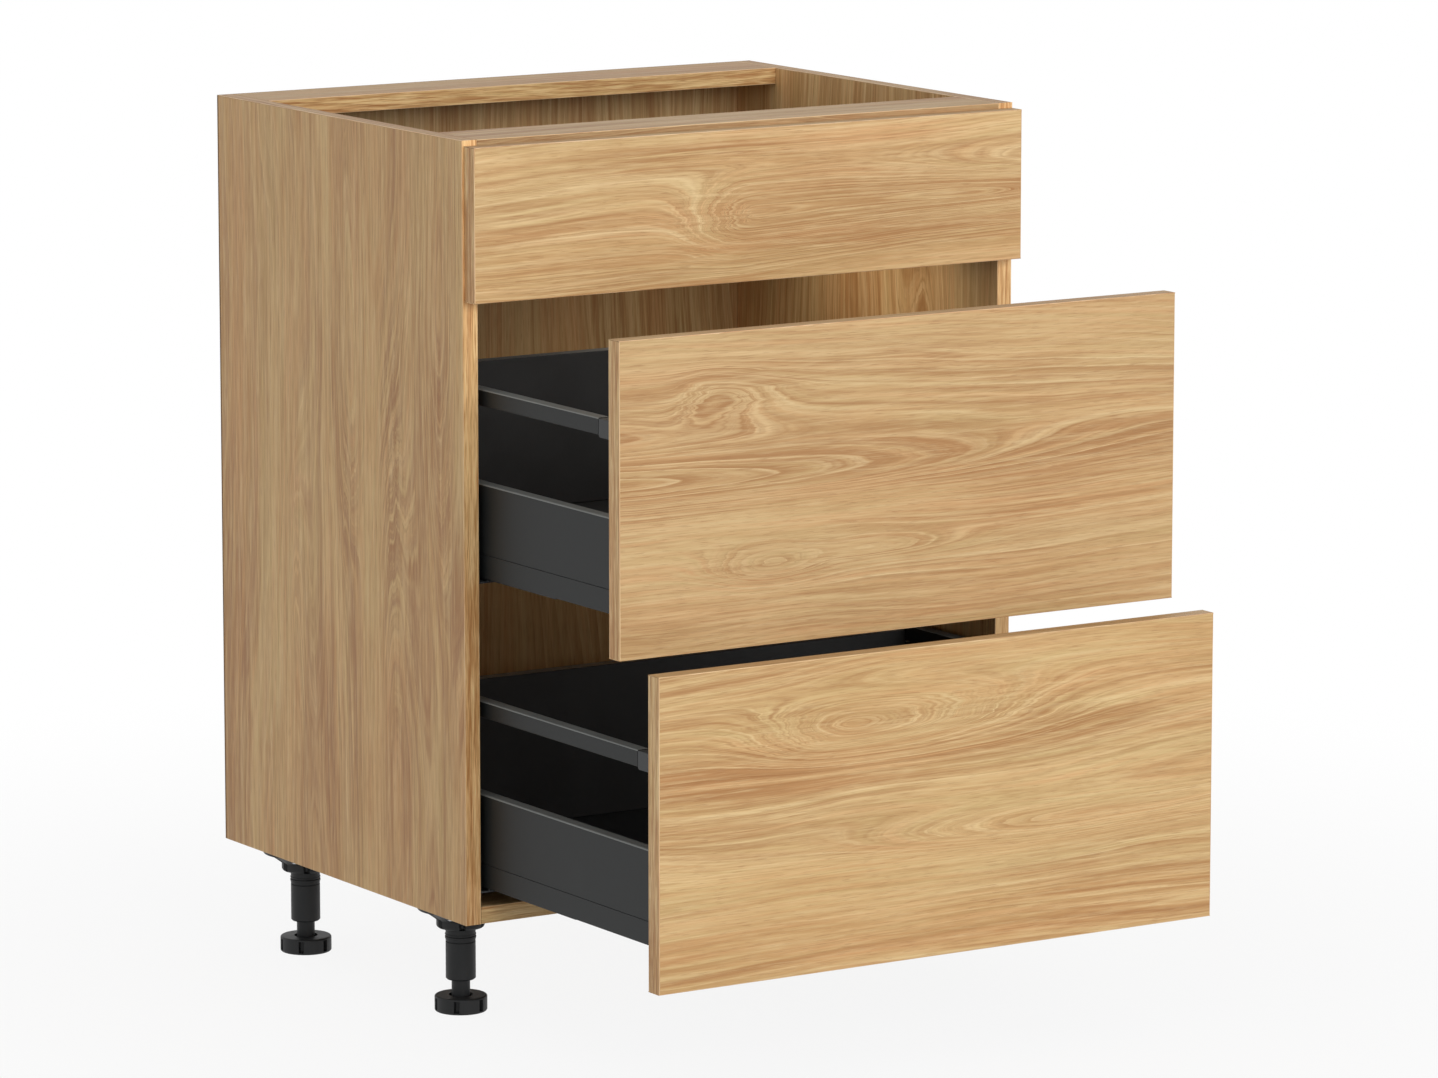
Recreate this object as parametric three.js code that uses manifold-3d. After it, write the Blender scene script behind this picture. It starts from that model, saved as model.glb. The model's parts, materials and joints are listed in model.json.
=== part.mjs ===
// Kitchen base cabinet, 600 mm wide, with three handleless drawer fronts on steel-sided drawers.
// Units are millimetres. +X is the right-hand side, the fronts face -Y and +Z is up.
// The origin is on the floor, in the middle of the floor area that the cabinet covers as shown:
// top drawer shut, middle and bottom drawers part open.

import * as THREE from 'three';
import { mergeVertices } from 'three/addons/utils/BufferGeometryUtils.js';
import Module from 'manifold-3d';

const wasm = await Module();
wasm.setup();

// ---- Carcass ----------------------------------------------------------------------------------
const cabinetWidth = 600; // over the outer faces of the side panels
const carcassHeight = 720; // side panels, without the legs
const panelDepth = 455; // side panels, without the back board
const panelThickness = 16;
const backBoardThickness = 3;
const topRailDepth = 70; // front to back, both rails lie flat
const panelSeam = 0.2; // left between two panels that are screwed together

// ---- Drawer fronts ----------------------------------------------------------------------------
const frontThickness = 18;
const frontSideReveal = 2; // the fronts are this much narrower than the carcass on each side
const frontTopReveal = 5; // top edge of the carcass left uncovered
const frontSpacing = 4; // between one front and the next
const frontStandOff = 0.5; // closed front to the carcass edge
const shallowFrontHeight = 141;

// ---- Drawer boxes -----------------------------------------------------------------------------
const drawerRearRoom = 5.2; // shut drawer to the back board
const deepSideHeight = 86;
const shallowSideHeight = 54;
const shallowSideRise = 10; // lower edge of the top front to the lower edge of its steel sides
const drawerSideWidth = 13; // folded top of the steel side
const sheetThickness = 1.2;
const wallToDrawer = 6.5; // inner face of the carcass to the outer face of the steel side
const runnerTunnelWidth = 28.3; // room for the runner under the strip, sheet to sheet
const floorTopHeight = 24.5; // above the lower edge of the steel side
const floorThickness = 16;
const floorLedgeWidth = 18; // ledge that the floor board lies on
const creaseHeight = 21.5; // pressed line along the outer face
const creaseWidth = 1.4;
const creaseDepth = 0.5;
const backThickness = 16;
const lowBackBelowSide = 4; // top of the shallow drawer's back, below the top of its steel sides
const highBackBelowRailing = 5; // top of a deep drawer's back, below the top of its railings
const boxSeam = 0.3; // between the pieces of a drawer box

// ---- Railings of the two deep drawers ---------------------------------------------------------
const railingTopHeight = 172.5; // above the lower edge of the steel side
const railingHeight = 15.5;
const railingWall = 1;
const railingHolderLength = 50;
const railingHolderDeeper = 2; // holder reaches this much below the railing
const railingHolderStep = 0.4; // top of the holder, below the top of the railing

// ---- Runners ----------------------------------------------------------------------------------
const runnerSheet = 1.5;
const runnerAboveBottom = 12; // bottom panel to the lowest runner
const cabinetMemberDrop = 5; // runner's lowest edge, below the lower edge of the steel side
const cabinetMemberSetback = 3; // behind the front edge of the carcass
const cabinetMemberRearRoom = 12; // to the back edge of the side panel
const cabinetMemberHeight = 25; // flange that is screwed to the side panel
const cabinetChannelHeight = 8;
const cabinetChannelRoom = 2.3; // channel to the sheets on both sides of the runner tunnel
const middleMemberSetback = 10; // behind the front edge of the carcass, drawer shut
const middleMemberShorter = 40; // than the drawer
const middleMemberHeight = 12;
const drawerMemberShorter = 10; // than the drawer
const drawerMemberWebGap = 6; // between its two hanging webs
const drawerMemberTopRoom = 2; // top plate to the sheets on both sides of the runner tunnel
const runnerPlay = 0.5; // between a member and the one that it runs in, up and down
const runnerSidePlay = 1; // the same, sideways

// ---- Legs -------------------------------------------------------------------------------------
const legHeight = 100;
const legFrontInset = 82; // front edge of the side panel to the front legs' axes
const legRearInset = 79; // back edge of the side panel to the rear legs' axes
const flangeToSideFace = 2; // rim of the socket flange to the outer face of the side panel
const socketFlangeRadius = 40;
const socketFlangeThickness = 3;
const socketConeHeight = 9.8;
const socketCollarWidth = 8.5; // collar stands this much proud of the sleeve
const socketCollarHeight = 8;
const socketCollarRound = 3;
const socketSleeveLength = 6;
const socketRingHeight = 4;
const socketRingWidth = 0.5; // ring stands this much proud of the sleeve
const socketWall = 2;
const socketRoof = 4;
const socketScrewCount = 4;
const socketScrewRadius = 2.2;
const stemRadius = 8.6;
const stemFit = 0.3; // radial clearance of the threaded stem in the tube
const tubeWall = 5.1;
const tubeFit = 0.3; // radial clearance of the tube's neck in the socket
const tubeEndAboveFloor = 30;
const tubeChamfer = 1.2;
const tubeCrown = 9.6; // solid top of the tube, above its bore
const stemRoom = 18; // free bore above the stem, so that the foot can be screwed in
const discRadius = 24.5;
const discHeight = 15;
const discRound = 1.8;
const discRecessWidth = 2.6; // ring-shaped recess around the stem
const discRecessDepth = 6;
const gripCount = 6;
const gripWidth = 4;
const gripDepth = 2;
const gripMargin = 2; // left above and below each grip
const gripTurn = 9.5; // degrees that the grips are turned by
const roundSteps = 40; // sides of every round piece

// ---- How far each drawer stands open ----------------------------------------------------------
const topDrawerOpen = 0;
const middleDrawerOpen = 246.5;
const bottomDrawerOpen = 311;
const middleMemberShare = 0.5; // a middle member travels half as far as its drawer

// ---- Worked out from the sizes above ----------------------------------------------------------
const halfWidth = cabinetWidth / 2;
const innerHalfWidth = halfWidth - panelThickness;
const boardBetweenSides = innerHalfWidth - panelSeam;
const carcassBack = panelDepth + panelSeam + backBoardThickness;
const deepSideRise = panelThickness + runnerAboveBottom + cabinetMemberDrop;
const topFrontBottom = carcassHeight - frontTopReveal - shallowFrontHeight;
const deepFrontHeight = (topFrontBottom - 2 * frontSpacing) / 2;
const frontBackFace = -frontStandOff;
const frontHalfWidth = halfWidth - frontSideReveal;
const drawerStart = frontBackFace + boxSeam;
const drawerLength = panelDepth - drawerRearRoom - drawerStart;
const drawerEnd = drawerStart + drawerLength;
const sideInnerFace = wallToDrawer + drawerSideWidth;
const tunnelStart = wallToDrawer + sheetThickness;
const tunnelEnd = tunnelStart + runnerTunnelWidth;
const stripEnd = tunnelEnd + sheetThickness;
const railingBottomHeight = railingTopHeight - railingHeight;
const mostOpen = Math.max(topDrawerOpen, middleDrawerOpen, bottomDrawerOpen);
const foremost = frontBackFace - frontThickness - mostOpen;
const carcassMiddle = (foremost + carcassBack) / 2;

// ---- Finishes ---------------------------------------------------------------------------------
function finish(color, roughness, metalness = 0) {
  return new THREE.MeshStandardMaterial({ color, roughness, metalness });
}

const oakFront = finish(0xcda878, 0.55);
const oakCarcass = finish(0xaf8f6c, 0.6);
const backBoardFinish = finish(0x8f7456, 0.7);
const blackBoard = finish(0x1f2022, 0.6);
const graphiteSteel = finish(0x434546, 0.45, 0.3);
const zincSteel = finish(0xa9adb0, 0.35, 0.8);
const blackPlastic = finish(0x29292a, 0.5);

const cabinet = new THREE.Group();
cabinet.position.set(0, -carcassMiddle, 0);

function place(parent, name, geometry, material) {
  const mesh = new THREE.Mesh(geometry, material);
  mesh.name = name;
  parent.add(mesh);
  return mesh;
}

// A board between two opposite corners.
function board(low, high) {
  const size = high.map((value, axis) => value - low[axis]);
  const middle = high.map((value, axis) => (value + low[axis]) / 2);
  const geometry = new THREE.BoxGeometry(...size);
  geometry.translate(...middle);
  return geometry;
}

// A profile drawn across the cabinet, as [x, z] points, run from the front to the back.
function profileBar(points, start, length, holes = []) {
  const shape = new THREE.Shape(points.map(([x, z]) => new THREE.Vector2(x, z)));
  for (const hole of holes) {
    shape.holes.push(new THREE.Path(hole.map(([x, z]) => new THREE.Vector2(x, z))));
  }
  const geometry = new THREE.ExtrudeGeometry(shape, { depth: length, bevelEnabled: false });
  geometry.rotateX(Math.PI / 2);
  geometry.translate(0, start + length, 0);
  return geometry;
}

// A profile drawn along the cabinet, as [y, z] points, run from one x to the right.
function crossBar(points, start, length) {
  const shape = new THREE.Shape(points.map(([y, z]) => new THREE.Vector2(y, z)));
  const geometry = new THREE.ExtrudeGeometry(shape, { depth: length, bevelEnabled: false });
  geometry.rotateX(Math.PI / 2);
  geometry.rotateZ(Math.PI / 2);
  geometry.translate(start, 0, 0);
  return geometry;
}

// A turned piece: [radius, z] points, starting and ending on the axis or closing on themselves.
function turned(points) {
  const outline = points.map(([radius, z]) => new THREE.Vector2(radius, z));
  const geometry = new THREE.LatheGeometry(outline, roundSteps);
  geometry.rotateX(Math.PI / 2);
  return geometry;
}

function toSolid(geometry) {
  const bare = geometry.index ? geometry.toNonIndexed() : geometry.clone();
  bare.deleteAttribute('normal');
  bare.deleteAttribute('uv');
  const merged = mergeVertices(bare, 1e-4);
  const mesh = new wasm.Mesh({
    numProp: 3,
    vertProperties: new Float32Array(merged.attributes.position.array),
    triVerts: new Uint32Array(merged.index.array),
  });
  return new wasm.Manifold(mesh);
}

function toGeometry(solid) {
  const mesh = solid.getMesh();
  const geometry = new THREE.BufferGeometry();
  geometry.setAttribute('position', new THREE.BufferAttribute(mesh.vertProperties, mesh.numProp));
  geometry.setIndex(new THREE.BufferAttribute(mesh.triVerts, 1));
  const faceted = geometry.toNonIndexed();
  faceted.computeVertexNormals();
  return faceted;
}

function joined(first, second) {
  return toGeometry(toSolid(first).add(toSolid(second)));
}

function cutAway(body, tools) {
  let solid = toSolid(body);
  for (const tool of tools) {
    solid = solid.subtract(toSolid(tool));
  }
  return toGeometry(solid);
}

// The two sides of the cabinet: side is -1 on the left and 1 on the right.
const sides = [
  { word: 'left', side: -1 },
  { word: 'right', side: 1 },
];

// Distance from the inner face of a side panel, turned into x on that side of the cabinet.
function fromWall(side, distance) {
  return side * (innerHalfWidth - distance);
}

function wallProfile(side, points) {
  const flipped = points.map(([distance, z]) => [fromWall(side, distance), z]);
  return side < 0 ? flipped : flipped.reverse();
}

// Lowest and highest x of a drawer's steel side and railing.
function acrossSide(side) {
  const near = fromWall(side, wallToDrawer);
  const far = fromWall(side, sideInnerFace);
  return [Math.min(near, far), Math.max(near, far)];
}

// ---- Carcass ----------------------------------------------------------------------------------
function buildCarcass(parent) {
  for (const { word, side } of sides) {
    const outer = side * halfWidth;
    const inner = side * innerHalfWidth;
    const low = [Math.min(outer, inner), 0, 0];
    const high = [Math.max(outer, inner), panelDepth, carcassHeight];
    place(parent, `side_panel_${word}`, board(low, high), oakCarcass);
  }
  const across = boardBetweenSides;
  const railBottom = carcassHeight - panelThickness;
  const bottom = board([-across, 0, 0], [across, panelDepth, panelThickness]);
  place(parent, 'bottom_panel', bottom, oakCarcass);
  const frontRail = board([-across, 0, railBottom], [across, topRailDepth, carcassHeight]);
  place(parent, 'top_rail_front', frontRail, oakCarcass);
  const rearStart = panelDepth - topRailDepth;
  const rearRail = board([-across, rearStart, railBottom], [across, panelDepth, carcassHeight]);
  place(parent, 'top_rail_rear', rearRail, oakCarcass);
  const backStart = panelDepth + panelSeam;
  const back = board([-halfWidth, backStart, 0], [halfWidth, carcassBack, carcassHeight]);
  place(parent, 'back_board', back, backBoardFinish);
}

// ---- Legs -------------------------------------------------------------------------------------
// All leg heights below are measured from the underside of the carcass, upwards.
const socketTop = -panelSeam;
const socketFlangeBottom = socketTop - socketFlangeThickness;
const collarTop = socketFlangeBottom - socketConeHeight;
const collarBottom = collarTop - socketCollarHeight;
const ringTop = collarBottom - socketSleeveLength;
const socketBottom = ringTop - socketRingHeight;
const boreRadius = stemRadius + stemFit;
const tubeRadius = boreRadius + tubeWall;
const collarRadius = tubeRadius + socketCollarWidth;
const neckHoleRadius = tubeRadius - socketWall;
const neckRadius = neckHoleRadius - tubeFit;
const neckHoleTop = socketTop - socketRoof;
const tubeShoulder = socketBottom - panelSeam;
const tubeTop = neckHoleTop - panelSeam;
const tubeBottom = tubeEndAboveFloor - legHeight;
const boreTop = tubeTop - tubeCrown;
const stemTop = boreTop - stemRoom;

// Points of a quarter round with the given centre, from one angle to the other, in degrees.
function quarterRound(centreRadius, centreHeight, radius, from, to) {
  const steps = roundSteps / 8;
  const points = [];
  for (let step = 0; step <= steps; step += 1) {
    const angle = THREE.MathUtils.degToRad(from + ((to - from) * step) / steps);
    points.push([centreRadius + radius * Math.cos(angle), centreHeight + radius * Math.sin(angle)]);
  }
  return points;
}

function buildSocket() {
  const round = socketCollarRound;
  const ringRadius = tubeRadius + socketRingWidth;
  const body = turned([
    [0, neckHoleTop],
    [neckHoleRadius, neckHoleTop],
    [neckHoleRadius, socketBottom],
    [ringRadius, socketBottom],
    [ringRadius, ringTop],
    [tubeRadius, ringTop],
    [tubeRadius, collarBottom],
    ...quarterRound(collarRadius - round, collarBottom + round, round, -90, 0),
    [collarRadius, collarTop],
    [socketFlangeRadius, socketFlangeBottom],
    [socketFlangeRadius, socketTop],
    [0, socketTop],
  ]);
  const screwCircle = (collarRadius + socketFlangeRadius) / 2;
  const holes = [];
  for (let number = 0; number < socketScrewCount; number += 1) {
    const angle = (2 * Math.PI * (number + 1 / 2)) / socketScrewCount;
    const hole = new THREE.CylinderGeometry(socketScrewRadius, socketScrewRadius, legHeight, roundSteps / 2);
    hole.rotateX(Math.PI / 2);
    hole.translate(screwCircle * Math.cos(angle), screwCircle * Math.sin(angle), 0);
    holes.push(hole);
  }
  return cutAway(body, holes);
}

function buildTube() {
  return turned([
    [0, tubeTop],
    [0, boreTop],
    [boreRadius, boreTop],
    [boreRadius, tubeBottom],
    [tubeRadius - tubeChamfer, tubeBottom],
    [tubeRadius, tubeBottom + tubeChamfer],
    [tubeRadius, tubeShoulder],
    [neckRadius, tubeShoulder],
    [neckRadius, tubeTop],
    [0, tubeTop],
  ]);
}

function buildFoot(side) {
  const floor = -legHeight;
  const discTop = floor + discHeight;
  const recessFloor = discTop - discRecessDepth;
  const rimRadius = discRadius - discRound;
  const body = turned([
    [0, floor],
    ...quarterRound(rimRadius, floor + discRound, discRound, -90, 0),
    ...quarterRound(rimRadius, discTop - discRound, discRound, 0, 90),
    [stemRadius + discRecessWidth, discTop],
    [stemRadius + discRecessWidth, recessFloor],
    [stemRadius, recessFloor],
    [stemRadius, stemTop],
    [0, stemTop],
  ]);
  const gripHeight = discHeight - 2 * gripMargin;
  const grips = [];
  for (let number = 0; number < gripCount; number += 1) {
    const grip = new THREE.BoxGeometry(2 * gripDepth, gripWidth, gripHeight);
    grip.translate(discRadius, 0, floor + gripMargin + gripHeight / 2);
    grip.rotateZ(side * THREE.MathUtils.degToRad(gripTurn) + (2 * Math.PI * number) / gripCount);
    grips.push(grip);
  }
  return cutAway(body, grips);
}

function buildLegs(parent) {
  const rows = [
    { word: 'front', y: legFrontInset },
    { word: 'rear', y: panelDepth - legRearInset },
  ];
  const legX = halfWidth - flangeToSideFace - socketFlangeRadius;
  for (const row of rows) {
    for (const { word, side } of sides) {
      const leg = new THREE.Group();
      leg.position.set(side * legX, row.y, 0);
      parent.add(leg);
      const name = `leg_${row.word}_${word}`;
      place(leg, `${name}_socket`, buildSocket(), blackPlastic);
      place(leg, `${name}_tube`, buildTube(), blackPlastic);
      place(leg, `${name}_foot`, buildFoot(side), blackPlastic);
    }
  }
}

// ---- Drawers ----------------------------------------------------------------------------------
// Heights in a drawer are measured from the lower edge of its steel sides.

// Steel side: outer wall with a pressed line, folded top, inner wall, strip over the runner,
// web beside the floor board and the ledge under it.
function steelSideOutline(sideHeight) {
  const outer = wallToDrawer;
  const ledgeTop = floorTopHeight - floorThickness - boxSeam;
  return [
    [outer, 0],
    [tunnelStart, 0],
    [tunnelStart, floorTopHeight - sheetThickness],
    [tunnelEnd, floorTopHeight - sheetThickness],
    [tunnelEnd, ledgeTop - sheetThickness],
    [stripEnd + floorLedgeWidth, ledgeTop - sheetThickness],
    [stripEnd + floorLedgeWidth, ledgeTop],
    [stripEnd, ledgeTop],
    [stripEnd, floorTopHeight],
    [sideInnerFace, floorTopHeight],
    [sideInnerFace, sideHeight],
    [outer, sideHeight],
    [outer, creaseHeight + creaseWidth / 2],
    [outer + creaseDepth, creaseHeight],
    [outer, creaseHeight - creaseWidth / 2],
  ];
}

// The hollow between the outer and the inner wall, open at both ends of the side.
function steelSideHollow(sideHeight) {
  const low = floorTopHeight + sheetThickness;
  const high = sideHeight - sheetThickness;
  const inner = sideInnerFace - sheetThickness;
  return [
    [tunnelStart, low],
    [inner, low],
    [inner, high],
    [tunnelStart, high],
  ];
}

function buildSteelSide(side, { sideHeight, deep }) {
  const outline = wallProfile(side, steelSideOutline(sideHeight));
  const hollow = wallProfile(side, steelSideHollow(sideHeight));
  const bar = profileBar(outline, drawerStart, drawerLength, [hollow]);
  if (!deep) {
    return bar;
  }
  const postFoot = sideHeight - sheetThickness;
  const postTop = railingBottomHeight - boxSeam;
  const [low, high] = acrossSide(side);
  const post = board([low, drawerEnd - backThickness, postFoot], [high, drawerEnd, postTop]);
  return joined(bar, post);
}

function buildRailing(side) {
  const outer = wallToDrawer;
  const inner = sideInnerFace;
  const outline = [
    [outer, railingBottomHeight],
    [inner, railingBottomHeight],
    [inner, railingTopHeight],
    [outer, railingTopHeight],
  ];
  const hollow = [
    [outer + railingWall, railingBottomHeight + railingWall],
    [inner - railingWall, railingBottomHeight + railingWall],
    [inner - railingWall, railingTopHeight - railingWall],
    [outer + railingWall, railingTopHeight - railingWall],
  ];
  const start = drawerStart + railingHolderLength + boxSeam;
  return profileBar(wallProfile(side, outline), start, drawerEnd - start, [wallProfile(side, hollow)]);
}

// Plastic holder on the front: as wide as the railing, a little deeper, with a sloping end.
function buildRailingHolder(side) {
  const end = drawerStart + railingHolderLength;
  const high = railingTopHeight - railingHolderStep;
  const low = railingBottomHeight - railingHolderDeeper;
  const outline = [
    [drawerStart, low],
    [end - railingHolderDeeper, low],
    [end, railingBottomHeight],
    [end, high],
    [drawerStart, high],
  ];
  const [start] = acrossSide(side);
  return crossBar(outline, start, drawerSideWidth);
}

function buildFloor() {
  const edge = innerHalfWidth - stripEnd - boxSeam;
  const bottom = floorTopHeight - floorThickness;
  return board([-edge, drawerStart, bottom], [edge, drawerEnd, floorTopHeight]);
}

function buildBack(height) {
  const edge = innerHalfWidth - sideInnerFace - boxSeam;
  const low = [-edge, drawerEnd - backThickness, floorTopHeight + boxSeam];
  return board(low, [edge, drawerEnd, height]);
}

function buildFront({ frontHeight, sideRise }) {
  const low = [-frontHalfWidth, frontBackFace - frontThickness, -sideRise];
  const high = [frontHalfWidth, frontBackFace, frontHeight - sideRise];
  return board(low, high);
}

// ---- Runners ----------------------------------------------------------------------------------
const channelNear = tunnelStart + cabinetChannelRoom + runnerSheet;
const channelFar = tunnelEnd - cabinetChannelRoom - runnerSheet;
const channelFloor = -cabinetMemberDrop + runnerSheet;
const middleFloor = channelFloor + runnerPlay;
const middleTop = middleFloor + middleMemberHeight;
const runnerCentre = (tunnelStart + tunnelEnd) / 2;

// Fixed member: flange on the side panel and a channel under the drawer.
function cabinetMember(side) {
  const wall = panelSeam;
  const low = -cabinetMemberDrop;
  const lipTop = low + cabinetChannelHeight;
  const outline = [
    [wall, low],
    [channelFar + runnerSheet, low],
    [channelFar + runnerSheet, lipTop],
    [channelFar, lipTop],
    [channelFar, channelFloor],
    [channelNear, channelFloor],
    [channelNear, lipTop],
    [channelNear - runnerSheet, lipTop],
    [channelNear - runnerSheet, channelFloor],
    [wall + runnerSheet, channelFloor],
    [wall + runnerSheet, low + cabinetMemberHeight],
    [wall, low + cabinetMemberHeight],
  ];
  const length = panelDepth - cabinetMemberSetback - cabinetMemberRearRoom;
  return profileBar(wallProfile(side, outline), cabinetMemberSetback, length);
}

// Middle member: an open channel that runs in the fixed one.
function middleMember(side) {
  const near = channelNear + runnerSidePlay;
  const far = channelFar - runnerSidePlay;
  const outline = [
    [near, middleFloor],
    [far, middleFloor],
    [far, middleTop],
    [far - runnerSheet, middleTop],
    [far - runnerSheet, middleFloor + runnerSheet],
    [near + runnerSheet, middleFloor + runnerSheet],
    [near + runnerSheet, middleTop],
    [near, middleTop],
  ];
  const length = drawerLength - middleMemberShorter;
  return profileBar(wallProfile(side, outline), middleMemberSetback, length);
}

// Drawer member: a top plate under the strip of the steel side, with two hanging webs.
function drawerMember(side) {
  const top = floorTopHeight - sheetThickness - boxSeam;
  const plateLow = top - runnerSheet;
  const webLow = middleFloor + runnerSheet + runnerPlay;
  const plateNear = tunnelStart + drawerMemberTopRoom;
  const plateFar = tunnelEnd - drawerMemberTopRoom;
  const gapNear = runnerCentre - drawerMemberWebGap / 2;
  const gapFar = runnerCentre + drawerMemberWebGap / 2;
  const outline = [
    [plateNear, plateLow],
    [gapNear - runnerSheet, plateLow],
    [gapNear - runnerSheet, webLow],
    [gapNear, webLow],
    [gapNear, plateLow],
    [gapFar, plateLow],
    [gapFar, webLow],
    [gapFar + runnerSheet, webLow],
    [gapFar + runnerSheet, plateLow],
    [plateFar, plateLow],
    [plateFar, top],
    [plateNear, top],
  ];
  return profileBar(wallProfile(side, outline), drawerStart, drawerLength - drawerMemberShorter);
}

// ---- One drawer with its runners ---------------------------------------------------------------
function buildDrawer(parent, drawer) {
  const { name, frontBottom, sideHeight, sideRise, open, deep } = drawer;
  const level = frontBottom + sideRise;
  const fixed = new THREE.Group();
  fixed.position.set(0, 0, level);
  const halfway = new THREE.Group();
  halfway.position.set(0, -open * middleMemberShare, level);
  const moving = new THREE.Group();
  moving.position.set(0, -open, level);
  parent.add(fixed, halfway, moving);

  place(moving, `drawer_${name}_front`, buildFront(drawer), oakFront);
  place(moving, `drawer_${name}_floor`, buildFloor(), blackBoard);
  const backTop = deep ? railingTopHeight - highBackBelowRailing : sideHeight - lowBackBelowSide;
  place(moving, `drawer_${name}_back`, buildBack(backTop), blackBoard);
  for (const { word, side } of sides) {
    place(moving, `drawer_${name}_side_${word}`, buildSteelSide(side, drawer), graphiteSteel);
    if (deep) {
      place(moving, `drawer_${name}_railing_${word}`, buildRailing(side), graphiteSteel);
      place(moving, `drawer_${name}_railing_holder_${word}`, buildRailingHolder(side), graphiteSteel);
    }
    place(fixed, `runner_${name}_${word}_cabinet_member`, cabinetMember(side), zincSteel);
    place(halfway, `runner_${name}_${word}_middle_member`, middleMember(side), zincSteel);
    place(moving, `runner_${name}_${word}_drawer_member`, drawerMember(side), zincSteel);
  }
}

const carcass = new THREE.Group();
carcass.position.set(0, 0, legHeight);
cabinet.add(carcass);
buildCarcass(carcass);
buildLegs(carcass);

const drawers = [
  {
    name: 'top',
    frontBottom: topFrontBottom,
    frontHeight: shallowFrontHeight,
    sideHeight: shallowSideHeight,
    sideRise: shallowSideRise,
    open: topDrawerOpen,
    deep: false,
  },
  {
    name: 'middle',
    frontBottom: deepFrontHeight + frontSpacing,
    frontHeight: deepFrontHeight,
    sideHeight: deepSideHeight,
    sideRise: deepSideRise,
    open: middleDrawerOpen,
    deep: true,
  },
  {
    name: 'bottom',
    frontBottom: 0,
    frontHeight: deepFrontHeight,
    sideHeight: deepSideHeight,
    sideRise: deepSideRise,
    open: bottomDrawerOpen,
    deep: true,
  },
];
for (const drawer of drawers) {
  buildDrawer(carcass, drawer);
}

export default cabinet;
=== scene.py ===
"""Looks of a kitchen base cabinet with three handleless drawers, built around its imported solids.

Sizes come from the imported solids' boxes, in metres. +X is the cabinet's right-hand side, the
fronts face -Y and +Z is up. The top drawer is shut, the other two stand part open.
"""

import json
import logging
import math
from collections.abc import Callable, Iterable, Sequence
from dataclasses import dataclass, replace
from enum import Enum, IntEnum
from functools import cache

import bmesh
import bpy
from mathutils import Matrix, Vector

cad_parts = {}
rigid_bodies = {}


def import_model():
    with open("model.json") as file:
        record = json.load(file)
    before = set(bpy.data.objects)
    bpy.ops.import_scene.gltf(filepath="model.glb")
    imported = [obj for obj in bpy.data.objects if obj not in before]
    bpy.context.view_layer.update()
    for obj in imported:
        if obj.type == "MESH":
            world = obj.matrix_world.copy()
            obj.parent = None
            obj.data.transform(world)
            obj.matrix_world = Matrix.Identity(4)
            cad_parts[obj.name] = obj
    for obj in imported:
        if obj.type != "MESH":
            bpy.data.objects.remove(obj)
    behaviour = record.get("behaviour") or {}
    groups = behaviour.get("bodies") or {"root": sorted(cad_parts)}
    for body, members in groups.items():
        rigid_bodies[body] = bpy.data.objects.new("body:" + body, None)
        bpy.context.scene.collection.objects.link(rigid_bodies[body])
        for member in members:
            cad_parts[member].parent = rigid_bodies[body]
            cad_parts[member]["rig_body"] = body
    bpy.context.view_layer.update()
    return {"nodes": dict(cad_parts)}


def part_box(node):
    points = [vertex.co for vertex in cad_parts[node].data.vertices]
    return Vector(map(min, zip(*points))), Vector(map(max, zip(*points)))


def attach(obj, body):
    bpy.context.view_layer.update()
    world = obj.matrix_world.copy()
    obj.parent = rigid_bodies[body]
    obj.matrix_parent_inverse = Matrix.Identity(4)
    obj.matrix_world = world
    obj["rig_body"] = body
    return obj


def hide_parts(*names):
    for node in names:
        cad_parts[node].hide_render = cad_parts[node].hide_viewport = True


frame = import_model()

log = logging.getLogger("base_cabinet")

MM = 0.001
TINY = 0.001 * MM
FULL_TURN = 2 * math.pi

Point = tuple[float, float]
Colour = tuple[float, float, float, float]
Faces = list[bmesh.types.BMFace]


class Axis(Enum):
    """The directions of the cabinet: across it, from front to back, and up."""

    ACROSS = 0
    DEPTH = 1
    UP = 2

    @property
    def direction(self) -> Vector:
        """The unit vector along this axis."""
        return Vector([float(number == self.value) for number in range(3)])

    @staticmethod
    def besides(*others: "Axis") -> "Axis":
        """The first axis that is none of these."""
        return next(axis for axis in Axis if axis not in others)


class Hand(Enum):
    """The two sides of the cabinet, with the sign of their x."""

    LEFT = -1
    RIGHT = 1

    @property
    def word(self) -> str:
        """The side's word in the names of solids."""
        return self.name.lower()

    @property
    def inward(self) -> Vector:
        """The way from this side to the cabinet's middle."""
        return Vector((-self.value, 0, 0))


RIGHTWARD, REARWARD, UPWARD = (axis.direction for axis in Axis)

Edge = tuple[Axis, int]
FRONT: Edge = (Axis.DEPTH, -1)
REAR: Edge = (Axis.DEPTH, 1)
TOP: Edge = (Axis.UP, 1)
BOTTOM: Edge = (Axis.UP, -1)
LEFT_EDGE: Edge = (Axis.ACROSS, -1)
RIGHT_EDGE: Edge = (Axis.ACROSS, 1)


def srgb(red: int, green: int, blue: int) -> Colour:
    """Turns a colour as seen on a screen into the linear values that a shader takes.

    Args:
        red: Red, 0 to 255.
        green: Green, 0 to 255.
        blue: Blue, 0 to 255.

    Returns:
        The linear colour with full alpha.
    """

    def linear(value: int) -> float:
        """One channel, decoded."""
        share = value / 255
        return share / 12.92 if share <= 0.04045 else ((share + 0.055) / 1.055) ** 2.4

    return (linear(red), linear(green), linear(blue), 1.0)


# ---- Node trees as expressions ------------------------------------------------------------------


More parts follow.
